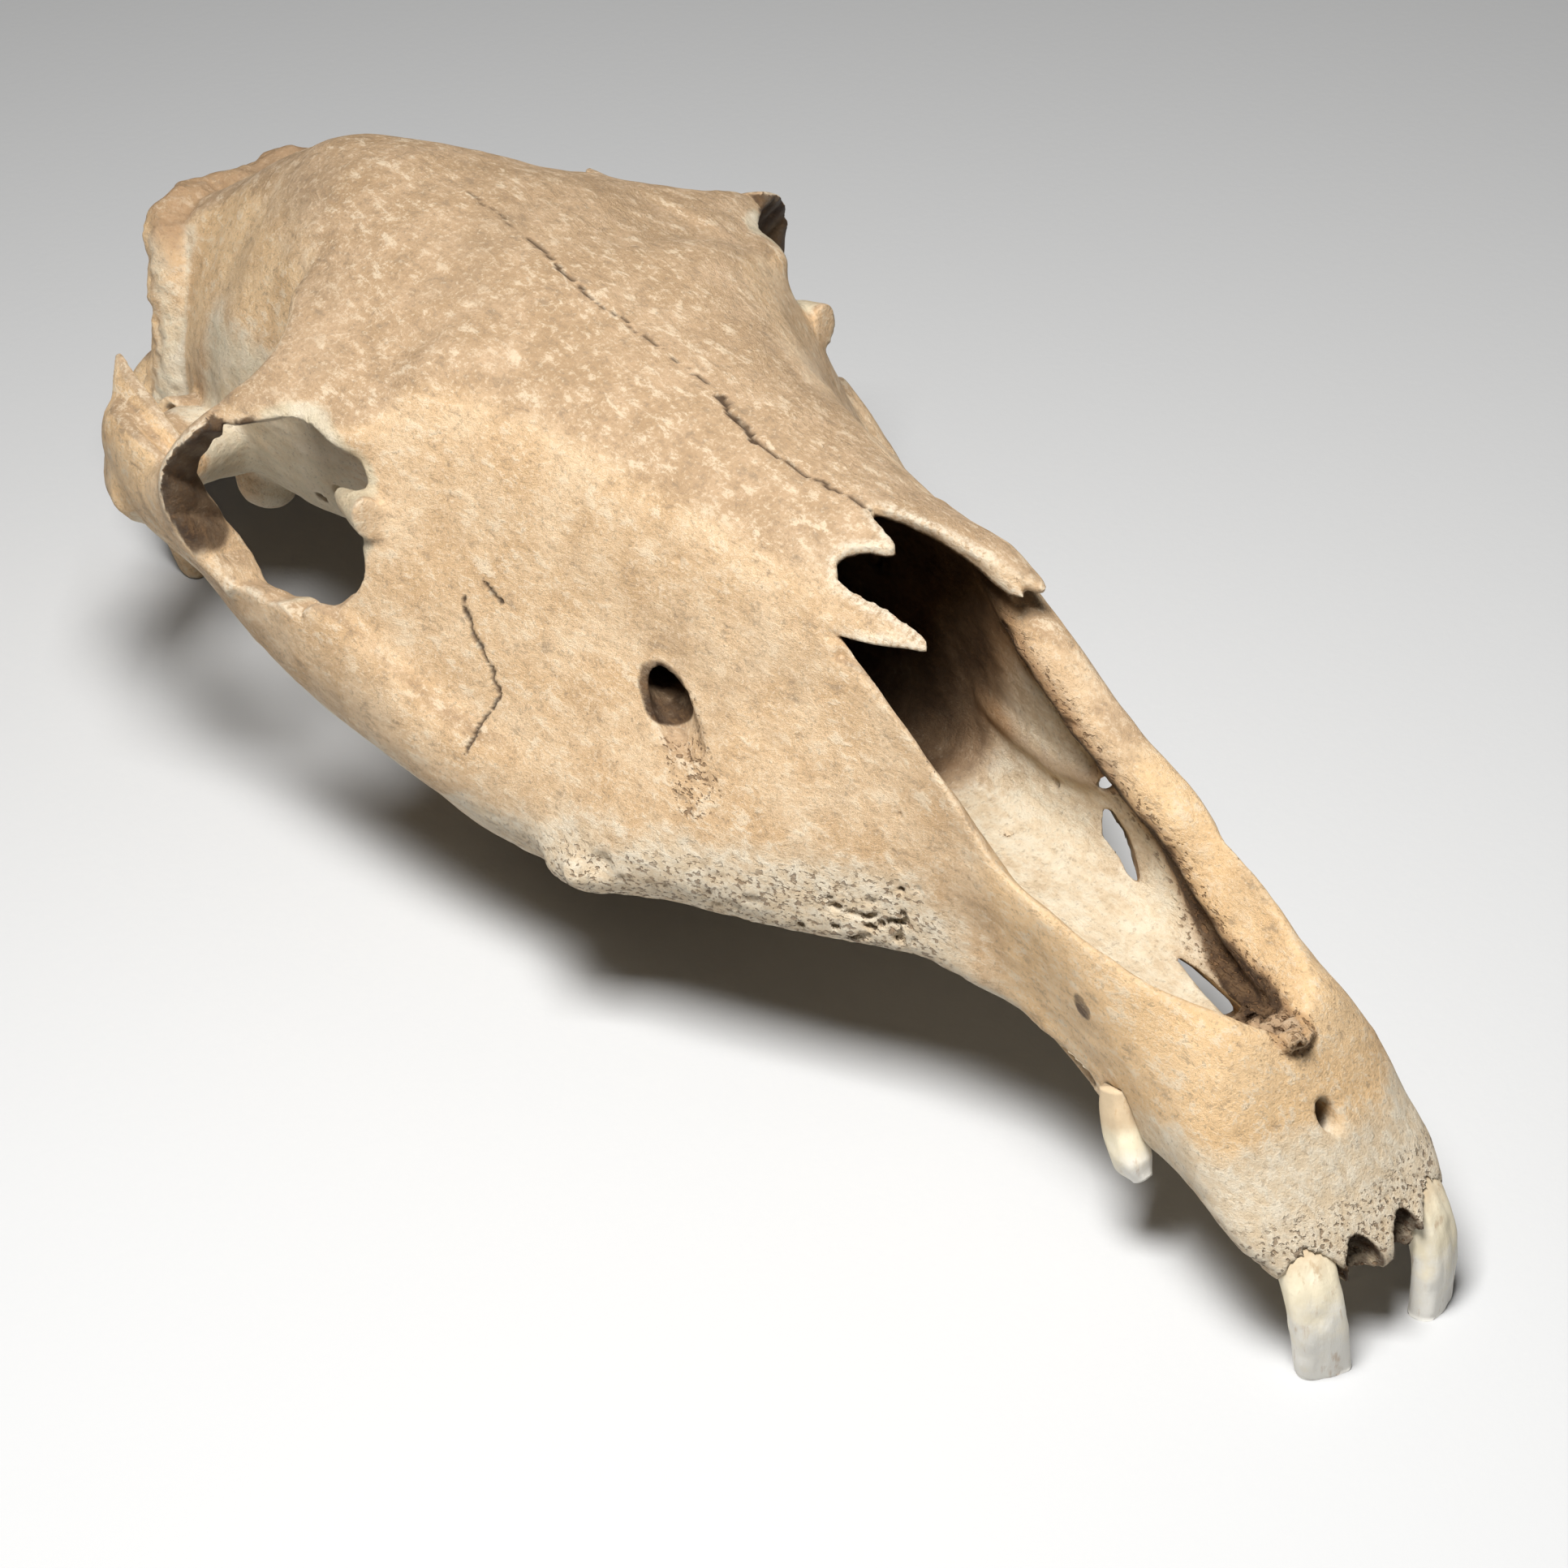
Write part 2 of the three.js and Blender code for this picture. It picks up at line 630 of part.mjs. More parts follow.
function cheekSockets() {
  const sockets = CHEEK_SOCKETS.map(([x, y, length]) => {
    const opening = marginZ(y);
    return box(
      CHEEK_SOCKET_WIDTH,
      length,
      2 * CHEEK_SOCKET_DEPTH,
      x,
      y,
      opening,
      [0, 0.08, 0.06],
    );
  });
  return sum(sockets);
}

function hollows() {
  return sum([
    nasalCavity(),
    nostrilOpening(),
    brokenNasals(),
    bothSides(orbit()),
    choana(),
    foramenMagnum(),
    bothSides(infraorbitalCanal()),
    incisiveCanal(),
    bothSides(palatineFissure()),
    bothSides(incisorSocket()),
    bothSides(incisor(SUTURE_GAP)),
    bothSides(canine(SUTURE_GAP)),
    bothSides(cheekSockets()),
  ]);
}

// ---------------------------------------------------------------- teeth
function incisor(clearance = 0) {
  return bar(
    INCISOR_PATH,
    INCISOR_WIDTHS.map((width) => width + 2 * clearance),
    INCISOR_THICKNESSES.map((thickness) => thickness + 2 * clearance),
    INCISOR_ACROSS,
    7,
    12,
  );
}

function canine(clearance = 0) {
  return bar(
    CANINE_PATH,
    CANINE_WIDTHS.map((width) => width + 2 * clearance),
    CANINE_THICKNESSES.map((thickness) => thickness + 2 * clearance),
    [0, 1, 0],
    5,
    10,
  );
}

// ---------------------------------------------------------------- bones and their sutures
const FAR = 700;
const EVERYWHERE = { left: -FAR, right: FAR, front: -FAR, back: FAR, bottom: -FAR, top: FAR };

function region(limits) {
  // A block between the given planes, each drawn in by half a suture.
  const { left, right, front, back, bottom, top } = { ...EVERYWHERE, ...limits };
  return box(
    right - left - SUTURE_GAP,
    back - front - SUTURE_GAP,
    top - bottom - SUTURE_GAP,
    (left + right) / 2,
    (front + back) / 2,
    (bottom + top) / 2,
  );
}

function above(y0, z0, y1, z1, side) {
  // The half space over (side 1) or under (side -1) the sloping plane through two [Y, Z] points.
  const slope = Math.atan2(z1 - z0, y1 - y0);
  const geometry = new THREE.BoxGeometry(2 * FAR, 2 * FAR, FAR);
  geometry.translate(0, 0, (side * (FAR + SUTURE_GAP)) / 2).rotateX(slope).translate(0, y0, z0);
  return solidFrom(geometry);
}

function rested(solid) {
  // Turn the skull nose-up onto its resting plane and trim what touches it to small flats.
  const level = solid.translate([0, 0, -REST_LEVEL]).rotate([-REST_TILT_DEG, 0, 0]);
  return level.subtract(box(2 * FAR, 2 * FAR, FAR, 0, 0, -FAR / 2));
}

function welded(solid) {
  // Close up the shortest edges, which are left where two surfaces nearly meet.
  const { vertProperties: positions, triVerts: corners } = solid.getMesh();
  const places = Array.from({ length: positions.length / 3 }, (_, i) =>
    new THREE.Vector3().fromArray(positions, 3 * i),
  );
  const joined = places.map((_, i) => i);
  const kept = (i) => (joined[i] === i ? i : kept(joined[i]));
  for (let c = 0; c < corners.length; c += 1) {
    const a = corners[c];
    const b = corners[c % 3 === 2 ? c - 2 : c + 1];
    if (places[a].distanceTo(places[b]) < WELD_LENGTH) joined[kept(b)] = kept(a);
  }
  const faces = new Map();
  for (let c = 0; c < corners.length; c += 3) {
    const face = [kept(corners[c]), kept(corners[c + 1]), kept(corners[c + 2])];
    if (new Set(face).size < 3) continue;
    const key = [...face].sort((a, b) => a - b).join();
    if (faces.has(key)) faces.delete(key);
    else faces.set(key, face);
  }
  const geometry = new THREE.BufferGeometry();
  geometry.setAttribute("position", new THREE.BufferAttribute(positions, 3));
  geometry.setIndex([...faces.values()].flat());
  return solidFrom(geometry);
}

function largest(solid) {
  const parts = solid.decompose();
  return parts.reduce((best, part) => (part.volume() > best.volume() ? part : best));
}

function halves(name, solid) {
  return {
    [name + "_left"]: solid.intersect(region({ left: 0 })),
    [name + "_right"]: solid.intersect(region({ right: 0 })),
  };
}

function archRegion(grow) {
  // The space of the zygomatic arches; `grow` widens it to leave the suture round them.
  const limits = {
    left: ARCH_SUTURE_X - grow,
    front: ARCH_SUTURE_Y - grow,
    back: OCCIPITAL_SUTURE_Y + grow,
  };
  const low = region({ ...limits, top: ARCH_SUTURE_Z + grow });
  const free = region({ ...limits, front: ARCH_FREE_Y - grow });
  return bothSides(low.add(free));
}

function bones() {
  const whole = outerBone().subtract(hollows());
  const arches = whole.intersect(archRegion(0));
  const rest = whole.subtract(archRegion(2 * SUTURE_GAP));
  const occipital = rest.intersect(region({ front: OCCIPITAL_SUTURE_Y }));
  const parietal = rest.intersect(
    region({ front: FRONTAL_SUTURE_Y, back: OCCIPITAL_SUTURE_Y, bottom: BASE_SUTURE_Z }),
  );
  const sphenoid = rest.intersect(
    region({ front: PALATINE_SUTURE_Y, back: OCCIPITAL_SUTURE_Y, top: BASE_SUTURE_Z }),
  );
  const frontal = rest.intersect(
    region({ front: MAXILLA_SUTURE_Y, back: FRONTAL_SUTURE_Y, bottom: BASE_SUTURE_Z }),
  );
  const faceFront = rest.intersect(region({ back: MAXILLA_SUTURE_Y }));
  const faceBack = rest.intersect(
    region({
      front: MAXILLA_SUTURE_Y - 2 * SUTURE_GAP, back: PALATINE_SUTURE_Y, top: BASE_SUTURE_Z,
    }),
  );
  const face = faceFront.add(faceBack);
  const nasal = face.intersect(above(...NASAL_SUTURE, 1));
  const underNasal = face.intersect(above(...NASAL_SUTURE, -1));
  const premaxilla = underNasal.intersect(above(...PREMAXILLA_SUTURE, 1));
  const maxilla = underNasal.intersect(above(...PREMAXILLA_SUTURE, -1));
  return {
    ...halves("premaxilla", premaxilla),
    ...halves("nasal", nasal),
    ...halves("maxilla", maxilla),
    ...halves("frontal", frontal),
    ...halves("zygomatic_arch", arches),
    parietal,
    sphenoid,
    occipital,
  };
}

function teeth() {
  return {
    incisor_left: incisor(),
    incisor_right: mirrored(incisor()),
    canine_left: canine(),
    canine_right: mirrored(canine()),
  };
}

function named(name, solid, colour, roughness) {
  const material = new THREE.MeshStandardMaterial({ color: colour, roughness, metalness: 0 });
  const mesh = new THREE.Mesh(geometryFrom(welded(rested(largest(solid)))), material);
  mesh.name = name;
  return mesh;
}

const PALE_BONES = ["premaxilla", "sphenoid"];
function centred(group) {
  // Put the origin at the bottom centre of the skull's box.
  const size = new THREE.Box3().setFromObject(group);
  const centre = size.getCenter(new THREE.Vector3());
  for (const mesh of group.children) mesh.geometry.translate(-centre.x, -centre.y, -size.min.z);
  return group;
}

const skull = new THREE.Group();
for (const [name, solid] of Object.entries(bones())) {
  const pale = PALE_BONES.some((bone) => name.startsWith(bone));
  skull.add(named(name, solid, pale ? PALE_BONE_COLOUR : BONE_COLOUR, 0.85));
}
for (const [name, solid] of Object.entries(teeth())) {
  skull.add(named(name, solid, TOOTH_COLOUR, 0.45));
}

export default centred(skull);
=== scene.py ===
# A weathered horse's cranium on a pale studio floor. The bone is one distance field, blended and carved
# in the skull frame (millimetres: X to the animal's left, Y backwards from the incisor sockets, Z up),
# turned into a mesh, roughened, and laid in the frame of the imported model.
import math

import bpy
import numpy as np
import openvdb as vdb
from mathutils import Matrix, Vector
from mathutils.geometry import tessellate_polygon


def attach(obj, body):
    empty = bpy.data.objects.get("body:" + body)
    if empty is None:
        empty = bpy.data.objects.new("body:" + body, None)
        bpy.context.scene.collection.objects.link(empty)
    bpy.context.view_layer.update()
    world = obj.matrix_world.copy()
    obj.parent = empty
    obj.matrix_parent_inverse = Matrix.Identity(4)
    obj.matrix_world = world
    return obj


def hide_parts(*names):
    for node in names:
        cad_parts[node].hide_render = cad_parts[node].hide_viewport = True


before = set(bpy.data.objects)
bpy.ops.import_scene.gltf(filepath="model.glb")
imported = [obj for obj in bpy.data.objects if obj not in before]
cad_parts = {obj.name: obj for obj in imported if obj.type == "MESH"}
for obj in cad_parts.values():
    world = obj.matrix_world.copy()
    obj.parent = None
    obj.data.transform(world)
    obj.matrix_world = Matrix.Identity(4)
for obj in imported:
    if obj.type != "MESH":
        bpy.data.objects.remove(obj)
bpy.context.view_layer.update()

# ---------------------------------------------------------------- sizes, in millimetres
VOXEL = 0.9
REACH = 10.0  # how far from a surface its distance is known
GRID_LOW = np.array([-108.0, -12.0, -10.0])
GRID_HIGH = np.array([108.0, 510.0, 200.0])
REST_TILT = math.radians(8.1)
REST_LEVEL = -26.2
REST_SHIFT = 257.04

DORSAL_HEIGHT = [
    (-3, 3), (6, 17), (18, 37), (28, 54), (36, 60), (50, 65), (60, 72), (80, 98), (100, 114),
    (130, 127), (150, 134.5), (171, 141), (205, 147.5), (240, 156.5), (275, 164.5), (304, 171),
    (334, 177), (360, 182), (384, 185), (408, 183.5), (430, 176), (455, 164), (474, 154), (484, 149),
    (492, 138),
]
# Each table lists (Y, value). The face's half cross-section has four corners between the two midlines,
# from the roof down to the palate.
SHOULDER_HALF_WIDTH = [
    (-3, 11), (6, 16), (18, 17), (30, 15.5), (44, 17.5), (60, 22), (100, 23), (150, 22), (171, 24),
    (205, 28.5), (240, 33.5), (275, 43), (304, 52), (312, 46), (320, 28),
]
SHOULDER_HEIGHT = [
    (-3, 2), (6, 14), (18, 32), (30, 55), (44, 62), (60, 69), (80, 88), (100, 101), (130, 116),
    (150, 124), (171, 130), (205, 138), (240, 146), (275, 155), (304, 162), (320, 156),
]
SIDE_HALF_WIDTH = [
    (-3, 15), (6, 24.5), (18, 29), (30, 28.5), (45, 26), (60, 26.5), (100, 27.5), (130, 28), (150, 31),
    (171, 36), (194, 42.5), (215, 47), (240, 53), (275, 62.5), (290, 70), (304, 76), (312, 68), (320, 40),
]
SIDE_HEIGHT = [
    (-3, 0), (6, 9), (18, 20), (30, 36), (45, 46), (60, 54), (80, 68), (100, 80), (130, 94),
    (150, 101), (171, 105), (215, 104), (240, 109), (275, 120), (304, 130), (320, 124),
]
CREST_HALF_WIDTH = [
    (-3, 15), (6, 26.5), (18, 30.5), (30, 29.5), (45, 27), (60, 25), (80, 23.5), (100, 25), (130, 34),
    (150, 45), (171, 58), (194, 70), (213, 77), (240, 78), (265, 80), (290, 83), (302, 83), (310, 78),
    (316, 62), (320, 42),
]
CREST_HEIGHT = [
    (-3, -2), (6, 3), (18, 11), (30, 18), (45, 24), (60, 28), (80, 36), (100, 50), (130, 61),
    (171, 62), (194, 59), (213, 56), (240, 57), (265, 60), (290, 70), (302, 76), (320, 92),
]
MARGIN_HALF_WIDTH = [
    (-3, 10), (6, 19), (18, 25), (30, 25.5), (45, 24.5), (60, 23), (76, 21), (88, 20), (101, 21),
    (115, 27), (130, 33), (140, 38), (155, 46), (183, 54), (215, 57), (250, 57), (285, 54), (302, 50),
    (312, 42), (320, 26),
]
MARGIN_HEIGHT = [
    (-3, -4), (6, -3), (18, 5), (30, 11), (45, 15), (60, 16), (76, 19), (88, 24), (101, 32),
    (115, 38), (130, 44), (155, 46), (183, 45), (215, 41), (250, 36), (285, 33), (302, 37), (312, 52),
    (320, 76),
]
PALATE_HEIGHT = [
    (-3, -4), (6, -1), (18, 8), (30, 15), (60, 24), (90, 34), (120, 44), (160, 47), (250, 46),
    (285, 50), (302, 56), (320, 82),
]
FACE_START, FACE_END = -3, 320

TEMPORAL_LINE_HALF_WIDTH = [
    (272, 40), (304, 46), (334, 50), (360, 43), (384, 34), (408, 24), (430, 18), (455, 20), (474, 26),
    (484, 24), (492, 14),
]
TEMPORAL_LINE_HEIGHT = [
    (272, 148), (304, 156), (334, 162), (360, 167), (384, 172), (408, 173), (430, 169), (455, 157),
    (474, 148), (484, 143), (492, 132),
]
BRAINCASE_HALF_WIDTH = [
    (272, 38), (304, 42), (334, 44), (360, 48), (384, 51), (408, 52), (430, 48), (455, 42), (474, 37),
    (484, 32), (492, 20),
]
BRAINCASE_SIDE_HEIGHT = [
    (272, 120), (304, 126), (334, 128), (384, 128), (430, 122), (455, 116), (492, 110),
]
BASE_HALF_WIDTH = [
    (272, 30), (304, 26), (334, 24), (360, 28), (384, 34), (408, 36), (430, 36), (455, 38), (474, 34),
    (484, 27), (492, 16),
]
BASE_SIDE_HEIGHT = [(272, 84), (304, 88), (334, 88), (384, 84), (430, 85), (455, 84), (492, 84)]
BASE_HEIGHT = [(272, 80), (304, 83), (334, 84), (384, 80), (430, 78), (455, 76), (492, 80)]
BRAINCASE_START, BRAINCASE_END = 272, 492

SHELF_HALF_WIDTH = [
    (268, 36), (284, 44), (293, 54), (300, 69), (306, 75), (316, 78), (334, 83), (350, 88), (366, 88),
]
SHELF_RIM_HEIGHT = [
    (268, 134), (284, 142), (300, 148.5), (316, 149.5), (334, 151), (350, 153), (366, 152),
]
SHELF_RIM_THICKNESS = 5
SHELF_FALL = 0.42  # share of the roof's fall that lies inside the outer half of the shelf
SHELF_START, SHELF_END = 268, 366
SHELF_LIFT = 0.4
SHELF_BEND = 0.55  # share of its half width at which the shelf turns down

ARCH_PATH = [
    (62, 226, 66), (72, 246, 67), (79, 272, 72), (83, 292, 80), (86.5, 314, 88), (89, 336, 98),
    (92, 358, 112), (94, 380, 120), (89, 401, 122), (75, 415, 110), (50, 426, 102),
]
ARCH_HEIGHTS = (14, 20, 24, 30, 36, 35, 30, 33, 30, 20, 20)
ARCH_THICKNESSES = (8, 12, 14, 14, 12.5, 12, 11, 12, 14, 20, 28)
SPIKE_PATH = [(91, 380, 120), (89.5, 391, 130), (85.5, 403, 138.5), (80, 414.5, 144.5)]
SPIKE_WIDTHS = (36, 24, 12, 2.4)
SPIKE_THICKNESSES = (9, 7, 4.5, 2)
BAR_PATH = [
    (56, 330, 157), (72, 334, 152.5), (85, 340, 148), (94, 347, 140), (98.5, 354, 128), (97, 361, 116),
]
BAR_WIDTHS = (30, 19, 17, 18, 22, 28)
BAR_THICKNESSES = (10, 9, 8, 8, 9, 10)
NUCHAL_CREST_PATH = [
    (-1, 486, 147), (10, 486, 148.5), (20, 483, 149.5), (28, 478, 147), (34, 470, 139),
    (38, 463, 126), (41, 463, 110), (42, 468, 96),
]
NUCHAL_CREST_WIDTHS = (12, 12, 12, 13, 14, 16, 20, 22)
NUCHAL_CREST_THICKNESSES = (11, 11, 11, 9, 8, 9, 12, 14)

NASAL_FLOOR_HEIGHT = [
    (26, 50), (40, 46), (60, 42), (90, 45), (120, 51), (160, 53), (250, 52), (292, 74),
]
NASAL_HALF_WIDTH = [
    (26, 3), (40, 6.5), (50, 9.5), (60, 12.5), (80, 17), (100, 20), (120, 21.5), (160, 25), (200, 31),
    (240, 33), (292, 24),
]
NASAL_ROOF_DROP = 3.6
NASAL_LEAST_HEIGHT = 18
NASAL_CAVITY_START, NASAL_CAVITY_END = 26, 292
NOSTRIL_EDGE = [
    (20, 62), (30, 62), (40, 63), (50, 64.7), (60, 68.5), (70, 72), (80, 76), (90, 80), (100, 84),
    (110, 92), (120, 99), (140, 111), (156, 120), (163, 124),
]
NOSTRIL_LIP = [
    (20, 9.5), (30, 9.5), (40, 11), (60, 14.5), (80, 14), (100, 12), (120, 10), (140, 6), (163, 2),
]
NOSTRIL_OUTER = [(20, 17), (40, 18.5), (60, 24), (80, 28), (100, 30), (120, 27), (163, 23)]
NOTCH_Y = 163
NASAL_KEEP_Y, NASAL_KEEP_Z = 133, 121.5  # behind and above these the nostril leaves the nasal bones whole
NASAL_FRONT = [(-60, 60), (60, 60)]
NASAL_CUT_LOW, NASAL_CUT_HIGH = 117, 217
NOSTRIL_START, NOSTRIL_SPACING = 22, 2.35
NOSTRIL_TOP, NOSTRIL_REACH = 220, 70
NOSTRIL_BLEND = 2.5
NASAL_BREAK = [  # X and Y of the broken edge of the nasal bones, from the left notch to the right
    (60, 158), (29, 158), (29, 135), (19, 133), (17.5, 139), (16, 146), (14.5, 153), (12, 162), (7, 170.5),
    (3, 176), (0.3, 174), (-2, 161), (-4.5, 161), (-7, 165), (-11, 169), (-14.5, 170), (-17.5, 166),
    (-17, 158), (-15.3, 150.4), (-14.5, 144), (-13.6, 137), (-15.9, 133), (-17.5, 139), (-21, 146),
    (-24.5, 151), (-25, 158), (-60, 158),
]

INCISOR_PATH = [(16.8, 16, 15.5), (18.6, 6.5, 3.2), (19, 3.5, -9), (17.3, 5, -27.5)]
INCISOR_WIDTHS = (11.5, 13.5, 14, 13.5)
INCISOR_THICKNESSES = (8, 10, 9.5, 8.5)
INCISOR_ACROSS = (0.93, 0.36, 0)
CANINE_PATH = [(23, 66, 30), (24.5, 64, 20), (25, 61, 12), (24.5, 58.5, 7.5)]
CANINE_WIDTHS = (9.5, 11, 10.5, 6)
CANINE_THICKNESSES = (8, 9, 8.5, 5)
MIDDLE_SOCKET_X = 7
CHEEK_SOCKETS = [
    (35.5, 161, 18), (41.5, 183, 20), (44.5, 206, 20.5), (46, 229, 20.5), (45.5, 252, 20.5),
    (43.5, 275, 21),
]
CHEEK_SOCKET_WIDTH = 16
CHEEK_SOCKET_DEPTH = 15
BAR_STEPS, BAR_CORNERS = 6, 24
HULL_STEPS = 10


# ---------------------------------------------------------------- curves and closed skins
def hermite(t, start, end, leave, arrive):
    """The cubic from start to end that leaves and arrives with those slopes."""
    return (
        (2 * t**3 - 3 * t**2 + 1) * start
        + (t**3 - 2 * t**2 + t) * leave
        + (3 * t**2 - 2 * t**3) * end
        + (t**3 - t**2) * arrive
    )


def along(knots):
    """Smooth value between (position, value) knots, with no overshoot."""
    x, v = np.array(knots, float).T
    slope = np.diff(v) / np.diff(x)
    tangent = np.empty(len(x))
    tangent[0], tangent[-1] = slope[0], slope[-1]
    product = slope[:-1] * slope[1:]
    total = slope[:-1] + slope[1:]
    tangent[1:-1] = np.where(product > 0, 2 * product / np.where(total == 0, 1, total), 0)

    def value(y):
        y = np.clip(np.asarray(y, float), x[0], x[-1])
        i = np.clip(np.searchsorted(x, y, side="right") - 1, 0, len(x) - 2)
        h = x[i + 1] - x[i]
        return hermite((y - x[i]) / h, v[i], v[i + 1], h * tangent[i], h * tangent[i + 1])

    return value


def spline(points, steps, closed=False):
    """Centripetal Catmull-Rom curve through points, with the same number of steps in each span."""
    p = np.asarray(points, float)
    if closed:
        p = np.vstack([p[-1], p, p[0], p[1]])
    else:
        p = np.vstack([2 * p[0] - p[1], p, 2 * p[-1] - p[-2]])
    t = (np.arange(steps) / steps)[:, None]
    out = []
    for p0, p1, p2, p3 in zip(p, p[1:], p[2:], p[3:]):
        d1, d2, d3 = (max(np.linalg.norm(b - a) ** 0.5, 1e-4) for a, b in ((p0, p1), (p1, p2), (p2, p3)))
        m1 = ((p1 - p0) / d1 - (p2 - p0) / (d1 + d2) + (p2 - p1) / d2) * d2
        m2 = ((p2 - p1) / d2 - (p3 - p1) / (d2 + d3) + (p3 - p2) / d3) * d2
        out.append(hermite(t, p1, p2, m1, m2))
    out = np.vstack(out)
    return out if closed else np.vstack([out, p[-2]])


def band(n):
    """Triangles between a ring of n points and the ring that follows it."""
    i, j = np.arange(n), (np.arange(n) + 1) % n
    return np.vstack([np.stack([i, j, j + n], 1), np.stack([i, j + n, i + n], 1)])


def loft(rings):
    """Points and triangles of a closed skin over rings of one length."""
    rings = np.asarray(rings, float)
    count, n = rings.shape[:2]
    points = np.vstack([rings.reshape(-1, 3), rings[0].mean(0), rings[-1].mean(0)])
    sides = [band(n) + k * n for k in range(count - 1)]
    i, j = np.arange(n), (np.arange(n) + 1) % n
    last = (count - 1) * n
    start = np.stack([np.full(n, count * n), j, i], 1)
    end = np.stack([np.full(n, count * n + 1), last + i, last + j], 1)
    return points, np.vstack([*sides, start, end])


def spread(sizes, t):
    """The size at each share t of a path, from sizes that lie evenly along it."""
    return along(list(zip(np.linspace(0, 1, len(sizes)), sizes)))(t)[:, None]


def swept(path, widths, thicknesses, across, steps):
    """Along a smooth path: centres, tangents and the two half axes of the section."""
    centres = spline(path, steps)
    t = np.linspace(0, 1, len(centres))
    tangents = np.gradient(centres, axis=0)
    tangents /= np.linalg.norm(tangents, axis=1)[:, None]
    side = np.asarray(across, float) - tangents * (tangents @ np.asarray(across, float))[:, None]
    side /= np.linalg.norm(side, axis=1)[:, None]
    face = np.cross(tangents, side)
    return centres, tangents, side * spread(widths, t) / 2, face * spread(thicknesses, t) / 2


def round_angles(corners):
    """That many angles, evenly round a circle from 0."""
    return 2 * np.pi * np.arange(corners) / corners


def bar(path, widths, thicknesses, across):
    """A bone bar along a smooth path; widths run along across, thicknesses at right angles to it."""
    centres, _, side, face = swept(path, widths, thicknesses, across, BAR_STEPS)
    angle = round_angles(BAR_CORNERS)[None, :, None]
    return loft(centres[:, None] + side[:, None] * np.cos(angle) + face[:, None] * np.sin(angle))


def whole_ring(half):
    """A ring out of its left half, from the top midline point to the bottom one."""
    return half + [(-x, z) for x, z in half[-2:0:-1]]


def hull(start, end, spacing, corners):
    """A skin over symmetric rings at even Y: corners(y) lists (X, Z) from the top midline to the bottom."""
    rings = []
    for y in np.arange(start, end + 1, spacing):
        outline = spline(whole_ring(corners(y)), HULL_STEPS, closed=True)
        rings.append(np.column_stack([outline[:, 0], np.full(len(outline), y), outline[:, 1]]))
    return loft(rings)


def rotation(turn):
    """The matrix that turns about X, then Y, then Z."""
    matrix = np.eye(3)
    for axis, angle in enumerate(turn):
        i, j = (axis + 1) % 3, (axis + 2) % 3
        about = np.eye(3)
        about[i, i] = about[j, j] = math.cos(angle)
        about[i, j], about[j, i] = -math.sin(angle), math.sin(angle)
        matrix = about @ matrix
    return matrix


def ellipsoid(radii, centre, turn=(0, 0, 0), rows=24):
    """An ellipsoid turned about X, then Y, then Z."""
    u = np.linspace(0, np.pi, rows + 1)[1:-1, None]
    v = round_angles(2 * rows)
    unit = np.stack([np.sin(u) * np.cos(v), np.sin(u) * np.sin(v), np.cos(u) + 0 * v], -1)
    points, triangles = loft(unit)
    points[-2:] = (0, 0, 1), (0, 0, -1)
    return (points * radii) @ rotation(turn).T + centre, triangles


def prism(outline, low, high):
    """A straight prism over an anticlockwise (X, Y) outline, between two heights."""
    rings = [[(x, y, z) for x, y in outline] for z in (low, high)]
    n = len(outline)
    caps = np.array(tessellate_polygon([[Vector(point) for point in rings[0]]]))
    return np.vstack(rings).astype(float), np.vstack([band(n), caps[:, ::-1], caps + n])


def mirrored(solid):
    points, triangles = solid
    return points * (-1, 1, 1), triangles[:, ::-1]


# ---------------------------------------------------------------- the distance field
def smooth_least(a, b, blend):
    """The lesser of two distances, with a fillet of about the blend's size where they meet."""
    h = np.maximum(blend - np.abs(a - b), 0)
    return np.minimum(a, b) - h * h / (4 * blend)


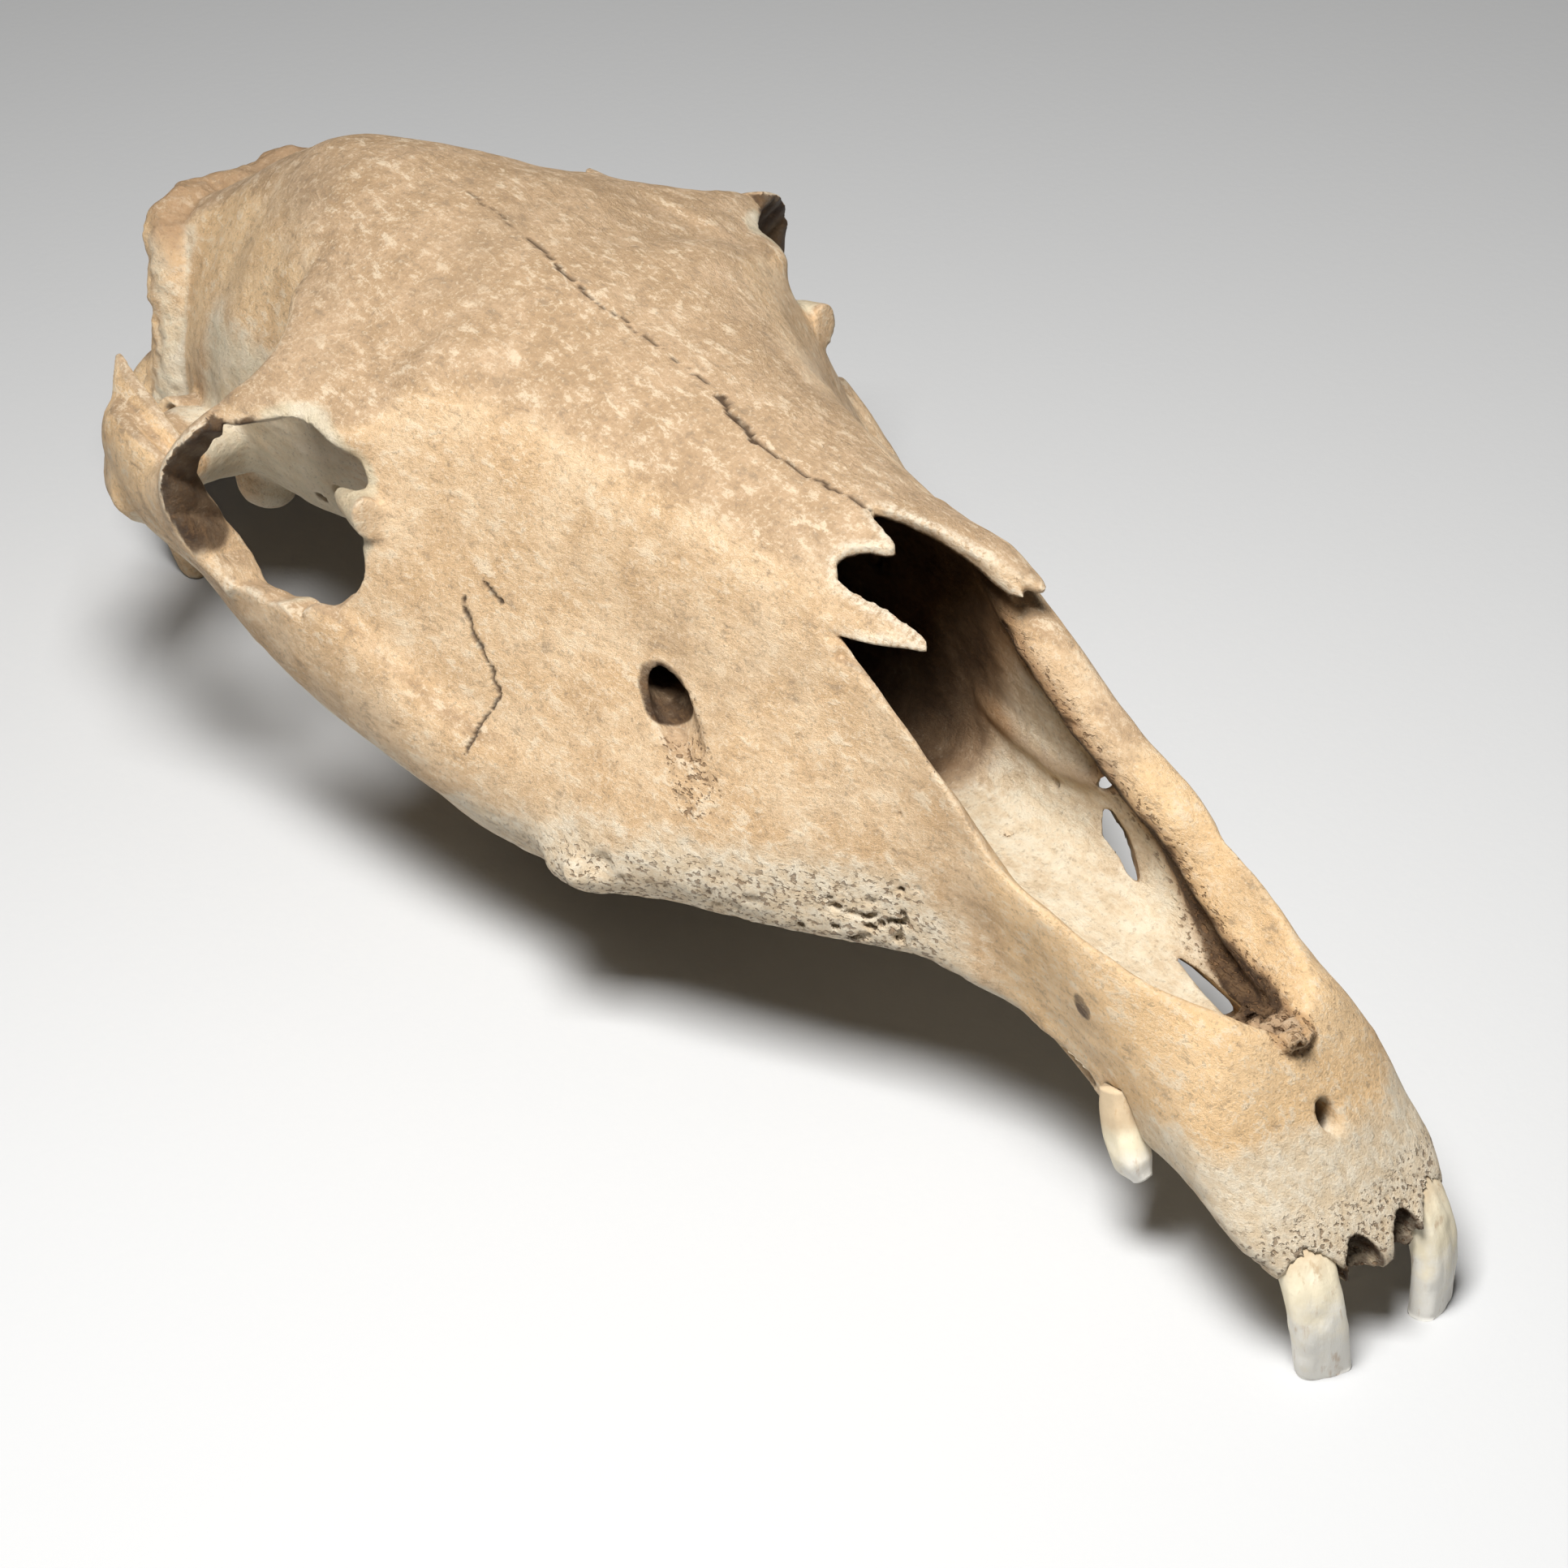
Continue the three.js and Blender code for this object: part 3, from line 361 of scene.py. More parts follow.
class Field:
    """A solid as signed distances in millimetres on a regular grid, negative inside."""

    def __init__(self):
        self.origin = np.round(GRID_LOW / VOXEL).astype(int)
        self.shape = np.round((GRID_HIGH - GRID_LOW) / VOXEL).astype(int)
        self.values = np.full(self.shape, REACH, np.float32)

    def part(self, solid):
        """The slice of the grid round a solid, and its distances there."""
        points, triangles = solid
        low = np.floor((points.min(0) - REACH) / VOXEL).astype(int) - self.origin
        high = np.ceil((points.max(0) + REACH) / VOXEL).astype(int) - self.origin + 1
        low, high = np.maximum(low, 0), np.minimum(high, self.shape)
        window = tuple(slice(a, b) for a, b in zip(low, high))
        grid = vdb.FloatGrid.createLevelSetFromPolygons(
            np.ascontiguousarray(points, np.float32),
            triangles=np.ascontiguousarray(triangles, np.uint32),
            transform=vdb.createLinearTransform(VOXEL),
            halfWidth=REACH / VOXEL,
        )
        distance = np.empty(tuple(high - low), np.float32)
        grid.copyToArray(distance, ijk=tuple(int(v) for v in low + self.origin))
        return window, distance

    def join(self, sign, solid, blend, both):
        for piece in (solid, mirrored(solid)) if both else (solid,):
            window, distance = self.part(piece)
            self.values[window] = sign * smooth_least(sign * self.values[window], distance, blend)

    def add(self, solid, blend=1.0, both=False):
        self.join(1, solid, blend, both)

    def cut(self, solid, blend=1.0, both=False):
        self.join(-1, solid, blend, both)

    def places(self, window):
        """X, Y and Z of the slice, as arrays that broadcast."""
        axes = [(np.arange(s.start, s.stop) + o) * VOXEL for s, o in zip(window, self.origin)]
        return axes[0][:, None, None], axes[1][None, :, None], axes[2][None, None, :]

    def mesh(self):
        """Points and four-cornered faces of the surface, facing outwards."""
        grid = vdb.FloatGrid(REACH)
        grid.copyFromArray(self.values, ijk=tuple(int(v) for v in self.origin))
        grid.transform = vdb.createLinearTransform(VOXEL)
        points, _, quads = grid.convertToPolygons(0.0, 0.0)
        return points.astype(float), quads.astype(int)


ADD, CUT = Field.add, Field.cut
ONE_SIDE = "one side"


def carve(bone, rows):
    """Shape the bone row by row: act, kind of solid, its sizes and blend; both sides but for ONE_SIDE."""
    for act, kind, sizes, blend, *side in rows:
        act(bone, kind(*sizes), blend, ONE_SIDE not in side)


def blurred(values, radius):
    """The field smoothed twice with a box of that radius, in millimetres."""
    reach = max(1, round(radius / VOXEL))
    width = 2 * reach + 1
    for _ in range(2):
        for axis in range(3):
            padding = [(0, 0)] * 3
            padding[axis] = (reach + 1, reach)
            total = np.cumsum(np.pad(values, padding, mode="edge"), axis=axis, dtype=np.float64)
            ahead = np.take(total, range(width, total.shape[axis]), axis=axis)
            behind = np.take(total, range(total.shape[axis] - width), axis=axis)
            values = ((ahead - behind) / width).astype(np.float32)
    return values


def corner_shares(t):
    """The eight corners of a grid cell, each with its share at the places t within the cell."""
    for corner in np.ndindex(2, 2, 2):
        share = np.where(corner, t, 1 - t)
        yield corner, share[:, 0] * share[:, 1] * share[:, 2]


def sampled(values, origin, points):
    """The grid's value at each point, in between its corners."""
    place = points / VOXEL - origin
    first = np.clip(np.floor(place).astype(int), 0, np.array(values.shape) - 2)
    total = 0
    for corner, share in corner_shares(np.clip(place - first, 0, 1)):
        total = total + share * values[tuple((first + corner).T)]
    return total


def step(value, low, high):
    """0 below low, 1 above high and smooth in between; low may be the greater."""
    t = np.clip((value - low) / (high - low), 0, 1)
    return t * t * (3 - 2 * t)


# ---------------------------------------------------------------- seeded roughness
LATTICE_SIZE = 64
LATTICE = np.random.default_rng(7).random((LATTICE_SIZE,) * 3).astype(np.float32)
LATTICE_SHIFT = 17.3  # parts the noises with different offsets


def noise(points, size, offset=0):
    """Smooth noise from -1 to 1 with lumps of about that size in millimetres."""
    place = np.asarray(points, float) / size + offset * LATTICE_SHIFT
    first = np.floor(place).astype(int)
    total = 0
    for corner, share in corner_shares(step(place - first, 0, 1)):
        total = total + share * LATTICE[tuple((first + corner).T % LATTICE_SIZE)]
    return 2 * total - 1


def near(points, path):
    """Distance of each point from a path of straight lines, in any number of dimensions."""
    path = np.asarray(path, float)
    least = np.full(len(points), 1e6)
    for a, b in zip(path[:-1], path[1:]):
        t = np.clip((points - a) @ (b - a) / ((b - a) @ (b - a)), 0, 1)
        least = np.minimum(least, np.linalg.norm(points - a - t[:, None] * (b - a), axis=1))
    return least


def beside(points, path, outer, inner):
    """1 nearer to a path than the inner distance, 0 beyond the outer one."""
    return step(near(points, path), outer, inner)


# ---------------------------------------------------------------- outer bone
SINK = 3  # how far a hull's end lies under its neighbour
SINK_LENGTH = 26
FACE_SPACING, BRAINCASE_SPACING, SHELF_SPACING = 3.8, 4, 3.5
VAULT_SMOOTHING = 2.4
dorsal = along(DORSAL_HEIGHT)
margin_height = along(MARGIN_HEIGHT)
nasal_floor = along(NASAL_FLOOR_HEIGHT)


def sinking(y, end):
    """How far a hull lies under its neighbour near that end."""
    near_end = max(0, 1 - abs(y - end) / SINK_LENGTH)
    return SINK * near_end * near_end


def face():
    side_tables = (
        (SIDE_HALF_WIDTH, SIDE_HEIGHT), (CREST_HALF_WIDTH, CREST_HEIGHT), (MARGIN_HALF_WIDTH, MARGIN_HEIGHT),
    )
    sides = [(along(half_width), along(height)) for half_width, height in side_tables]
    shoulder_x, shoulder_z, palate_z = map(along, (SHOULDER_HALF_WIDTH, SHOULDER_HEIGHT, PALATE_HEIGHT))

    def corners(y):
        sink = sinking(y, FACE_END)
        roof = [(0, dorsal(y) - sink), (shoulder_x(y), shoulder_z(y) - sink)]
        return roof + [(x(y), z(y)) for x, z in sides] + [(0, palate_z(y))]

    return hull(FACE_START, FACE_END, FACE_SPACING, corners)


def braincase():
    side_tables = (
        (TEMPORAL_LINE_HALF_WIDTH, TEMPORAL_LINE_HEIGHT), (BRAINCASE_HALF_WIDTH, BRAINCASE_SIDE_HEIGHT),
        (BASE_HALF_WIDTH, BASE_SIDE_HEIGHT),
    )
    sides = [(along(half_width), along(height)) for half_width, height in side_tables]
    base_z = along(BASE_HEIGHT)

    def corners(y):
        roof = [(0, dorsal(y) - 2 * sinking(y, BRAINCASE_START))]
        return roof + [(x(y), z(y)) for x, z in sides] + [(0, base_z(y))]

    return hull(BRAINCASE_START, BRAINCASE_END, BRAINCASE_SPACING, corners)


def frontal_shelf():
    rim_x, rim_z = along(SHELF_HALF_WIDTH), along(SHELF_RIM_HEIGHT)

    def corners(y):
        edge, height = rim_x(y), rim_z(y)
        top = dorsal(y) + SHELF_LIFT - sinking(y, SHELF_START) - sinking(y, SHELF_END)
        return [
            (0, top),
            (edge * SHELF_BEND, top - (top - height) * SHELF_FALL),
            (edge, height),
            (edge - 2, height - SHELF_RIM_THICKNESS),
            (edge * SHELF_BEND, height - 6),
            (0, height - 12),
        ]

    return hull(SHELF_START, SHELF_END, SHELF_SPACING, corners)


VAULT_SHAPES = [
    (ADD, face, (), 1, ONE_SIDE),
    (ADD, braincase, (), 3, ONE_SIDE),
    (ADD, frontal_shelf, (), 3, ONE_SIDE),
    (CUT, ellipsoid, ((42, 52, 40), (84, 395, 165)), 3),
]
ARCH_SHAPES = [  # zygomatic arch, jaw joint, spike, postorbital bar, front end of the facial crest
    (ADD, bar, (ARCH_PATH, ARCH_HEIGHTS, ARCH_THICKNESSES, (0.1, 0, 1)), 8),
    (ADD, bar, ([(91, 392, 112), (82, 408, 110), (58, 420, 110)], (18, 22, 24), (12, 18, 16), (0, 1, 0)), 7),
    (ADD, bar, (SPIKE_PATH, SPIKE_WIDTHS, SPIKE_THICKNESSES, (0.2, 1, -0.2)), 3),
    (ADD, bar, (BAR_PATH, BAR_WIDTHS, BAR_THICKNESSES, (0, 1, 0.12)), 6),
    (ADD, ellipsoid, ((7, 12, 6.5), (72.5, 218, 55), (0, 0.3, -0.15)), 5),
]
PROCESS_PATH = [(42, 470, 100), (45, 472, 84), (46, 474, 66), (44.5, 474, 50), (43, 473, 38)]
PLATE_PATH = [(27, 300, 72), (27, 308, 62), (26, 316, 50), (26, 322, 38)]
BACK_SHAPES = [  # nuchal crest, paracondylar process, condyle, pterygoid plate
    (ADD, bar, (NUCHAL_CREST_PATH, NUCHAL_CREST_WIDTHS, NUCHAL_CREST_THICKNESSES, (0, 1, 0)), 5),
    (ADD, bar, (PROCESS_PATH, (24, 20, 17, 13, 9), (14, 10, 8, 7, 6), (0, 1, 0)), 4),
    (ADD, ellipsoid, ((17, 13, 21), (26, 489, 88), (0.35, 0.25, 0.5)), 4),
    (ADD, bar, (PLATE_PATH, (52, 40, 22, 8), (9, 7, 6, 5), (0, 1, 0.4)), 3),
]


# ---------------------------------------------------------------- hollows
def nasal_cavity():
    half_width = along(NASAL_HALF_WIDTH)

    def corners(y):
        bottom, w = nasal_floor(y), half_width(y)
        roof = max(dorsal(y) - NASAL_ROOF_DROP, bottom + NASAL_LEAST_HEIGHT)
        return [
            (0, roof),
            (w * 0.75, roof - 8),
            (w, roof - (roof - bottom) * 0.45),
            (w * 0.95, bottom + 6),
            (0, bottom),
        ]

    return hull(NASAL_CAVITY_START, NASAL_CAVITY_END, FACE_SPACING, corners)


def nostril_opening():
    """Everything above the two long bars of the premaxillae, whose edges slope into the cavity."""
    edge, lip = along(NOSTRIL_EDGE), along(NOSTRIL_LIP)
    outer, cavity = along(NOSTRIL_OUTER), along(NASAL_HALF_WIDTH)
    rings = []
    for y in np.arange(NOSTRIL_START, NOTCH_Y + 1, NOSTRIL_SPACING):
        high, low = edge(y), edge(y) - lip(y)
        inner = min(cavity(y), outer(y) - 1)
        half = [(0, NOSTRIL_TOP), (NOSTRIL_REACH, NOSTRIL_TOP), (NOSTRIL_REACH, high + 1)]
        half += [(outer(y), high), (inner, low), (0, low)]
        rings.append([(x, y, z) for x, z in whole_ring(half)])
    return loft(rings)


def cut_nostril(bone):
    window, distance = bone.part(nostril_opening())
    _, y, z = bone.places(window)
    under_nasals = np.maximum(distance, np.minimum(y - NASAL_KEEP_Y, z - NASAL_KEEP_Z))
    bone.values[window] = -smooth_least(-bone.values[window], under_nasals, NOSTRIL_BLEND)


def cut_nasal_region(bone):
    bone.cut(nasal_cavity(), blend=1.5)
    cut_nostril(bone)
    bone.cut(prism(NASAL_FRONT + NASAL_BREAK, NASAL_CUT_LOW, NASAL_CUT_HIGH), blend=0.6)
    carve(bone, NASAL_FLAP)


FLAP_PATH = [
    (17, 180, 134.5), (18.7, 170, 133), (20.7, 160, 130.7), (21.4, 152, 128.5), (22.2, 145, 126),
    (22.7, 140, 124.2), (23, 136, 122.8),
]
FLAP_WIDTHS = (29.5, 24.6, 18.2, 14.6, 10.7, 7.4, 2)
FLAP_THICKNESSES = (5, 5, 5, 5, 4.6, 4, 2.4)
NASAL_FLAP = [  # the thin end of the left nasal bone, which juts out over the bar of the premaxilla
    (ADD, bar, (FLAP_PATH, FLAP_WIDTHS, FLAP_THICKNESSES, (0.88, 0, -0.47)), 2.5, ONE_SIDE),
]
BAR_RIM = [  # the sharp outer edge of the postorbital bar, from the frontal bone down along the arch
    (91, 336, 152), (97.5, 340, 150.5), (102.5, 345, 146), (104.5, 350, 138), (102, 352, 124),
    (99, 346, 112), (97, 337, 105), (95, 326, 103), (91, 312, 101),
]
BAR_INNER_EDGE = [
    (87, 345, 147.3), (88.4, 348, 142), (89.7, 353, 134.3), (89.3, 358, 124), (87.3, 356.5, 115.5),
    (83, 352, 106.4), (80, 341.5, 99.5), (78.5, 327, 99.5), (77, 311, 102),
]
BAR_RIM_CORNERS = [(84, 305, 112), (84, 308, 128), (86, 318, 143), (88, 324, 153)]
BAR_INNER_CORNERS = [(62, 315, 110), (62, 330, 125), (66, 336, 136), (76, 337, 146)]
BAR_PLATE_SHIFT = (1, 2.3, 0)
BAR_PLATE_WIDTHS = (10, 14, 17, 16, 15, 17, 18)
BAR_PLATE_THICKNESSES = (6, 6, 6, 6, 6, 7, 9)
bar_rim, bar_inner = np.array(BAR_RIM, float), np.array(BAR_INNER_EDGE, float)


def cut_bar_face(bone):
    """The inner half of the postorbital bar, and the wide hollow face that it turns to the eye."""
    middle = (bar_rim + bar_inner) / 2 + BAR_PLATE_SHIFT
    plate = (middle[: len(BAR_PLATE_WIDTHS)], BAR_PLATE_WIDTHS, BAR_PLATE_THICKNESSES, (-0.85, 0.45, 0))
    bone.add(bar(*plate), blend=3, both=True)
    outward = np.vstack([bar_rim + 0.6 * (bar_rim - bar_inner), BAR_RIM_CORNERS])
    inward = np.vstack([bar_inner + 0.5 * (bar_inner - bar_rim), BAR_INNER_CORNERS])
    bone.cut(loft([outward, inward]), blend=1.6, both=True)


ORBIT_RADII, ORBIT_CENTRE = (32, 24, 22.5), (77, 322.5, 128.5)
ORBIT_PASSAGE = [(72, 326, 118), (66, 336, 96), (60, 346, 66)]
CHOANA_PATH = [(0, 250, 70), (0, 282, 60), (0, 306, 44), (0, 330, 26)]
MAGNUM_PATH = [(0, 462, 112), (0, 480, 106), (0, 512, 98)]
ORBIT_SHAPES = [  # orbit, its lower front corner, passage down to the pterygoid region
    (CUT, ellipsoid, (ORBIT_RADII, ORBIT_CENTRE, (0, -0.2, 0.2)), 2),
    (CUT, ellipsoid, ((20, 13, 12.5), (82, 311, 116.5), (0, -0.2, 0.2)), 2),
    (CUT, bar, (ORBIT_PASSAGE, (42, 50, 60), (30, 34, 40), (0.2, 1, 0)), 4),
]
UNDERSIDE_SHAPES = [  # choana, foramen magnum
    (CUT, bar, (CHOANA_PATH, (40, 40, 42, 42), (22, 30, 40, 44), (1, 0, 0)), 3, ONE_SIDE),
    (CUT, bar, (MAGNUM_PATH, (32, 32, 34), (28, 30, 34), (1, 0, 0)), 2, ONE_SIDE),
]
SOCKET_CORNERS = 32
SOCKET_RINGS = [(-6, 1.05), (6, 1.0), (CHEEK_SOCKET_DEPTH + 3, 0.86), (CHEEK_SOCKET_DEPTH + 6, 0.6)]
SOCKET_SQUARENESS = 5
RIDGE_LENGTH, RIDGE_HEIGHT, RIDGE_THICKNESS = 16, 8, 2.4
RIDGE_SHIFT_X, RIDGE_SHIFT_Y = 0.8, 3


def cut_cheek_socket(bone, x, y, length):
    """One empty socket, squarish and tapering, with the ridges that stood between the roots."""
    mouth = margin_height(y) - 6
    angle = round_angles(SOCKET_CORNERS)
    power = SOCKET_SQUARENESS
    square = (np.abs(np.cos(angle)) ** power + np.abs(np.sin(angle)) ** power) ** (-1 / power)
    rings = []
    for height, share in SOCKET_RINGS:
        ring_x = x + share * CHEEK_SOCKET_WIDTH / 2 * square * np.cos(angle)
        ring_y = y + share * length / 2 * square * np.sin(angle)
        rings.append(np.column_stack([ring_x, ring_y, np.full(SOCKET_CORNERS, mouth + height)]))
    bone.cut(loft(rings), blend=1.2, both=True)
    top = mouth + SOCKET_RINGS[-1][0]
    for across in (-1, 1):
        ridge_x, ridge_y = x + RIDGE_SHIFT_X * across, y + RIDGE_SHIFT_Y * across
        ridge = [(ridge_x - RIDGE_LENGTH / 2, ridge_y, top), (ridge_x + RIDGE_LENGTH / 2, ridge_y, top)]
        bone.add(bar(ridge, (RIDGE_HEIGHT,) * 2, (RIDGE_THICKNESS,) * 2, (0, 0, 1)), blend=1.5, both=True)


def cut_underside(bone):
    carve(bone, UNDERSIDE_SHAPES)
    for socket in CHEEK_SOCKETS:
        cut_cheek_socket(bone, *socket)


INFRAORBITAL_PATH = [(57, 184, 91), (48, 203, 96), (36, 224, 101)]
INCISIVE_PATH = [(0, 8, 34), (0, 24, 30), (0, 44, 8)]
LINE_OF_BREAK = (0.47, 0.73, -0.49)
FISSURE = [  # the slanting slit of the palate, along its edge on the nasal floor
    (9.8, 83, 45.8), (7.0, 72.5, 44.2), (3.4, 60, 44.2), (-0.5, 50, 46), (-2.6, 43, 47.5), (2.4, 44, 46.5),
    (6, 52, 45), (8.4, 61, 44), (10.4, 73, 44.6),
]
MIDDLE_SOCKET_PATH = [
    (0.95 * MIDDLE_SOCKET_X, -12, -7), (MIDDLE_SOCKET_X, -1, 1), (0.95 * MIDDLE_SOCKET_X, 14, 12),
]
line_of_break = np.array(LINE_OF_BREAK)
slit = np.array(FISSURE, float)
TOOTH_ROOM = 0.15


def roomy(sizes):
    """Sizes of a tooth's socket, a little larger than the tooth."""
    return [size + TOOTH_ROOM for size in sizes]


FORAMEN_SHAPES = [  # infraorbital and incisive canals, palatine fissures, sockets of the middle incisors
    (CUT, bar, (INFRAORBITAL_PATH, (14, 13, 10), (10, 10, 8), (0, 0, 1)), 1.6),
    (CUT, bar, (INCISIVE_PATH, (6, 6, 6), (9, 9, 8), (1, 0, 0)), 1.5, ONE_SIDE),
    (CUT, loft, ([slit - 12 * line_of_break, slit + 60 * line_of_break],), 0.8),
    (CUT, bar, (MIDDLE_SOCKET_PATH, (9.4, 9, 5), (11, 10, 5), (1, 0, 0)), 1.5),
]
TOOTH_ROOM_SHAPES = [  # round the teeth, and the scallop of the gum edge over the incisor
    (CUT, bar, (INCISOR_PATH, roomy(INCISOR_WIDTHS), roomy(INCISOR_THICKNESSES), INCISOR_ACROSS), 0.8),
    (CUT, bar, (CANINE_PATH, roomy(CANINE_WIDTHS), roomy(CANINE_THICKNESSES), (0, 1, 0)), 0.8),
    (CUT, ellipsoid, ((9.5, 9, 13), (20.5, 1, -4), (0.15, 0, 0.37)), 1.5),
]


# ---------------------------------------------------------------- small features
PREMAXILLA_TUBE = [  # the thick round bar on the left of the nasal opening
    (27, 158, 118), (25.5, 150, 112), (24, 138, 104.5), (24, 125, 93), (24, 109.5, 82.5), (24, 92, 73),
    (23.5, 82.5, 63), (22, 68, 54.5), (17, 54, 48),
]
GROOVE = [  # along the inner foot of that bar
    (20, 150, 105), (18, 137, 97), (17.5, 124, 86), (17.5, 109, 76), (17.5, 92, 66), (17, 82, 57),
    (15, 69, 50), (11, 57, 47), (5.4, 42.5, 49),
]
CONCHAL_RIDGE = [
    (31.5, 178, 74), (28.6, 165, 72.5), (27, 154, 71.6), (25.7, 142, 71.1), (24.6, 131, 72.4),
    (23.4, 119, 75),
]
WALL_BREAK = [  # the hole in the thin left wall of the nasal cavity, along its edge
    (22.7, 120.6, 66), (22.4, 116.6, 67.3), (21.8, 110.8, 63), (21.3, 108.5, 59.4), (20.1, 105.9, 56.7),
    (20.1, 105.4, 51.4), (20.7, 109, 50.9), (21.2, 112, 51.4), (21.4, 114, 54.7), (19.8, 114.6, 58.8),
    (20.6, 119, 59.8), (22.7, 121.4, 62.2),
]
SMALL_BREAK = np.array((22.8, 118.6, 74.6))
SMALL_HOLES = [  # place, radius and whether on both sides
    ((-27, 13, 18.2), 0.9, False), ((-35.4, 210.2, 130.4), 1.2, False), ((-32.5, 127, 65), 1.1, False),
    ((-31, 133, 83.5), 0.8, False), ((-33.6, 132, 70.3), 0.8, False), ((21.8, 158.2, 61), 2.3, True),
    ((24.4, 142.4, 64.5), 1.8, True), ((11.8, 147.5, 53.5), 1.5, True), ((16, 74.7, 52.5), 1.6, True),
    ((14.2, 68.5, 50), 1.7, True), ((10.6, 62.6, 47.2), 1.4, True), ((1.9, 35.8, 49), 1.6, False),
    ((69.5, 307, 147), 1.6, True), ((42, 372, 101), 2.4, True),
    ((40, 384, 96), 3.0, True), ((46, 360, 112), 1.8, True),
]
HOLE_ROWS = 10
TUBE_SIZES = (8, 12, 14, 14.5, 15, 14.5, 13.5, 12, 8)
TUBERCLE_PATH = [(76, 294, 131), (74.5, 304, 131.5), (73, 312, 131.5)]
SMALL_SHAPES = [
    (ADD, bar, (PREMAXILLA_TUBE, TUBE_SIZES, TUBE_SIZES, (0, 0, 1)), 4, ONE_SIDE),
    (CUT, bar, (GROOVE, (4, 5, 5, 5, 5, 5, 5, 4, 3), (4, 5, 5, 5, 5, 5, 4, 3, 3), (0, 0, 1)), 2, ONE_SIDE),
    (ADD, bar, (CONCHAL_RIDGE, (2, 4, 5, 5, 4, 3), (2, 3.5, 4.5, 4.5, 4, 3), (0, 0, 1)), 5),
    (ADD, bar, (TUBERCLE_PATH, (12, 8, 4), (8, 7, 3.5), (0, 0, 1)), 4),
    (ADD, ellipsoid, ((3.2, 4, 3), (78.5, 212, 57), (0.3, 0.2, 0)), 3),
    (CUT, ellipsoid, ((4, 3.4, 3), (76.5, 206, 60), (0, 0.4, 0)), 3),
]
EAR_PATH = [(30, 440, 98), (46, 440, 104), (58, 438, 110)]
EAR_HOLE_PATH = [(36, 440, 102), (50, 439, 107), (64, 437, 113)]
TORN_PATH = [(24, 404, 72), (23, 420, 78), (22, 434, 76)]
HYPOGLOSSAL_PATH = [(20, 462, 70), (27, 466, 84), (30, 474, 92)]
BASE_SHAPES = [  # bulla, basal tuber, ear tube, its hole, lip behind the jaw joint, torn opening, canal
    (ADD, ellipsoid, ((9, 13, 8), (31, 437, 80), (0, 0, 0.3)), 4),
    (ADD, ellipsoid, ((6, 7, 5), (10, 430, 79)), 5),
    (ADD, bar, (EAR_PATH, (18, 15, 12), (16, 14, 11), (0, 1, 0)), 4),
    (CUT, bar, (EAR_HOLE_PATH, (5, 6, 7), (5, 6, 7), (0, 1, 0)), 1.5),
    (ADD, ellipsoid, ((7, 4.5, 9), (62, 426, 104), (0.2, 0, 0.3)), 4),
    (CUT, bar, (TORN_PATH, (6, 11, 6), (18, 22, 18), (1, 0, 0)), 2),
    (CUT, bar, (HYPOGLOSSAL_PATH, (5, 6, 5), (6, 7, 6), (1, 0, 0)), 1.5),
]


def add_small_features(bone):
    carve(bone, SMALL_SHAPES)
    cut_wall_break(bone)
    for centre, radius, both in SMALL_HOLES:
        bone.cut(ellipsoid((radius,) * 3, centre, rows=HOLE_ROWS), blend=0.8, both=both)
    add_crust(bone)
    carve(bone, BASE_SHAPES)


def cut_wall_break(bone):
    edge = np.array(WALL_BREAK, float)
    far = edge + 48 * line_of_break
    wide = far.mean(0) + 1.5 * (far - far.mean(0))
    bone.cut(loft([edge - 16 * line_of_break, edge, wide]), blend=0.5)
    path = [SMALL_BREAK + distance * line_of_break for distance in (-3, 20, 48)]
    bone.cut(bar(path, (3, 5, 8), (4, 6, 9), (0, 0, 1)), blend=0.5)


CRUST_START = (0, 22, 52.5)
CRUST_END = (1, 48, 47)
CRUST_LUMPS = 60
CRUMB_ROWS = 8
MARGIN_PORES = 45
MARGIN_PORE_CENTRE = (-39.5, 140, 54)
MARGIN_PORE_SPREAD = (2, 6, 4)


def on_crust(t):
    """The place at share t of the crust's line."""
    return (1 - t) * np.array(CRUST_START) + t * np.array(CRUST_END)


def add_crust(bone):
    """Loose spongy lumps where the two premaxillae meet, and large pores at the front of the margin."""
    random = np.random.default_rng(11)
    for _ in range(CRUST_LUMPS):
        x, y, z = on_crust(random.uniform(0, 1))
        centre = (x + random.uniform(-3.5, 3.5), y, z + random.uniform(-2, 0.6))
        lump = ellipsoid(random.uniform(1.0, 2.4, 3), centre, random.uniform(0, 3, 3), CRUMB_ROWS)
        bone.add(lump, blend=1.2)
    for _ in range(CRUST_LUMPS):
        x, y, z = on_crust(random.uniform(-0.1, 1.3))
        centre = (x + random.uniform(-4, 4), y, z + random.uniform(-1, 1.5))
        bone.cut(ellipsoid(random.uniform(0.7, 1.5, 3), centre, rows=CRUMB_ROWS), blend=0.6)
    for _ in range(MARGIN_PORES):
        x, y, z = random.normal(0, 1, 3) * MARGIN_PORE_SPREAD
        centre = (x - 0.55 * y - 0.2 * z, y, z) + np.array(MARGIN_PORE_CENTRE)
        radii = random.uniform((1.6, 1.0, 0.7), (2.4, 2.2, 1.1))
        bone.cut(ellipsoid(radii, centre, rows=CRUMB_ROWS), blend=0.6)


def over_rest(y, z):
    """Height over the resting plane."""
    return (z - REST_LEVEL) * math.cos(REST_TILT) - y * math.sin(REST_TILT)


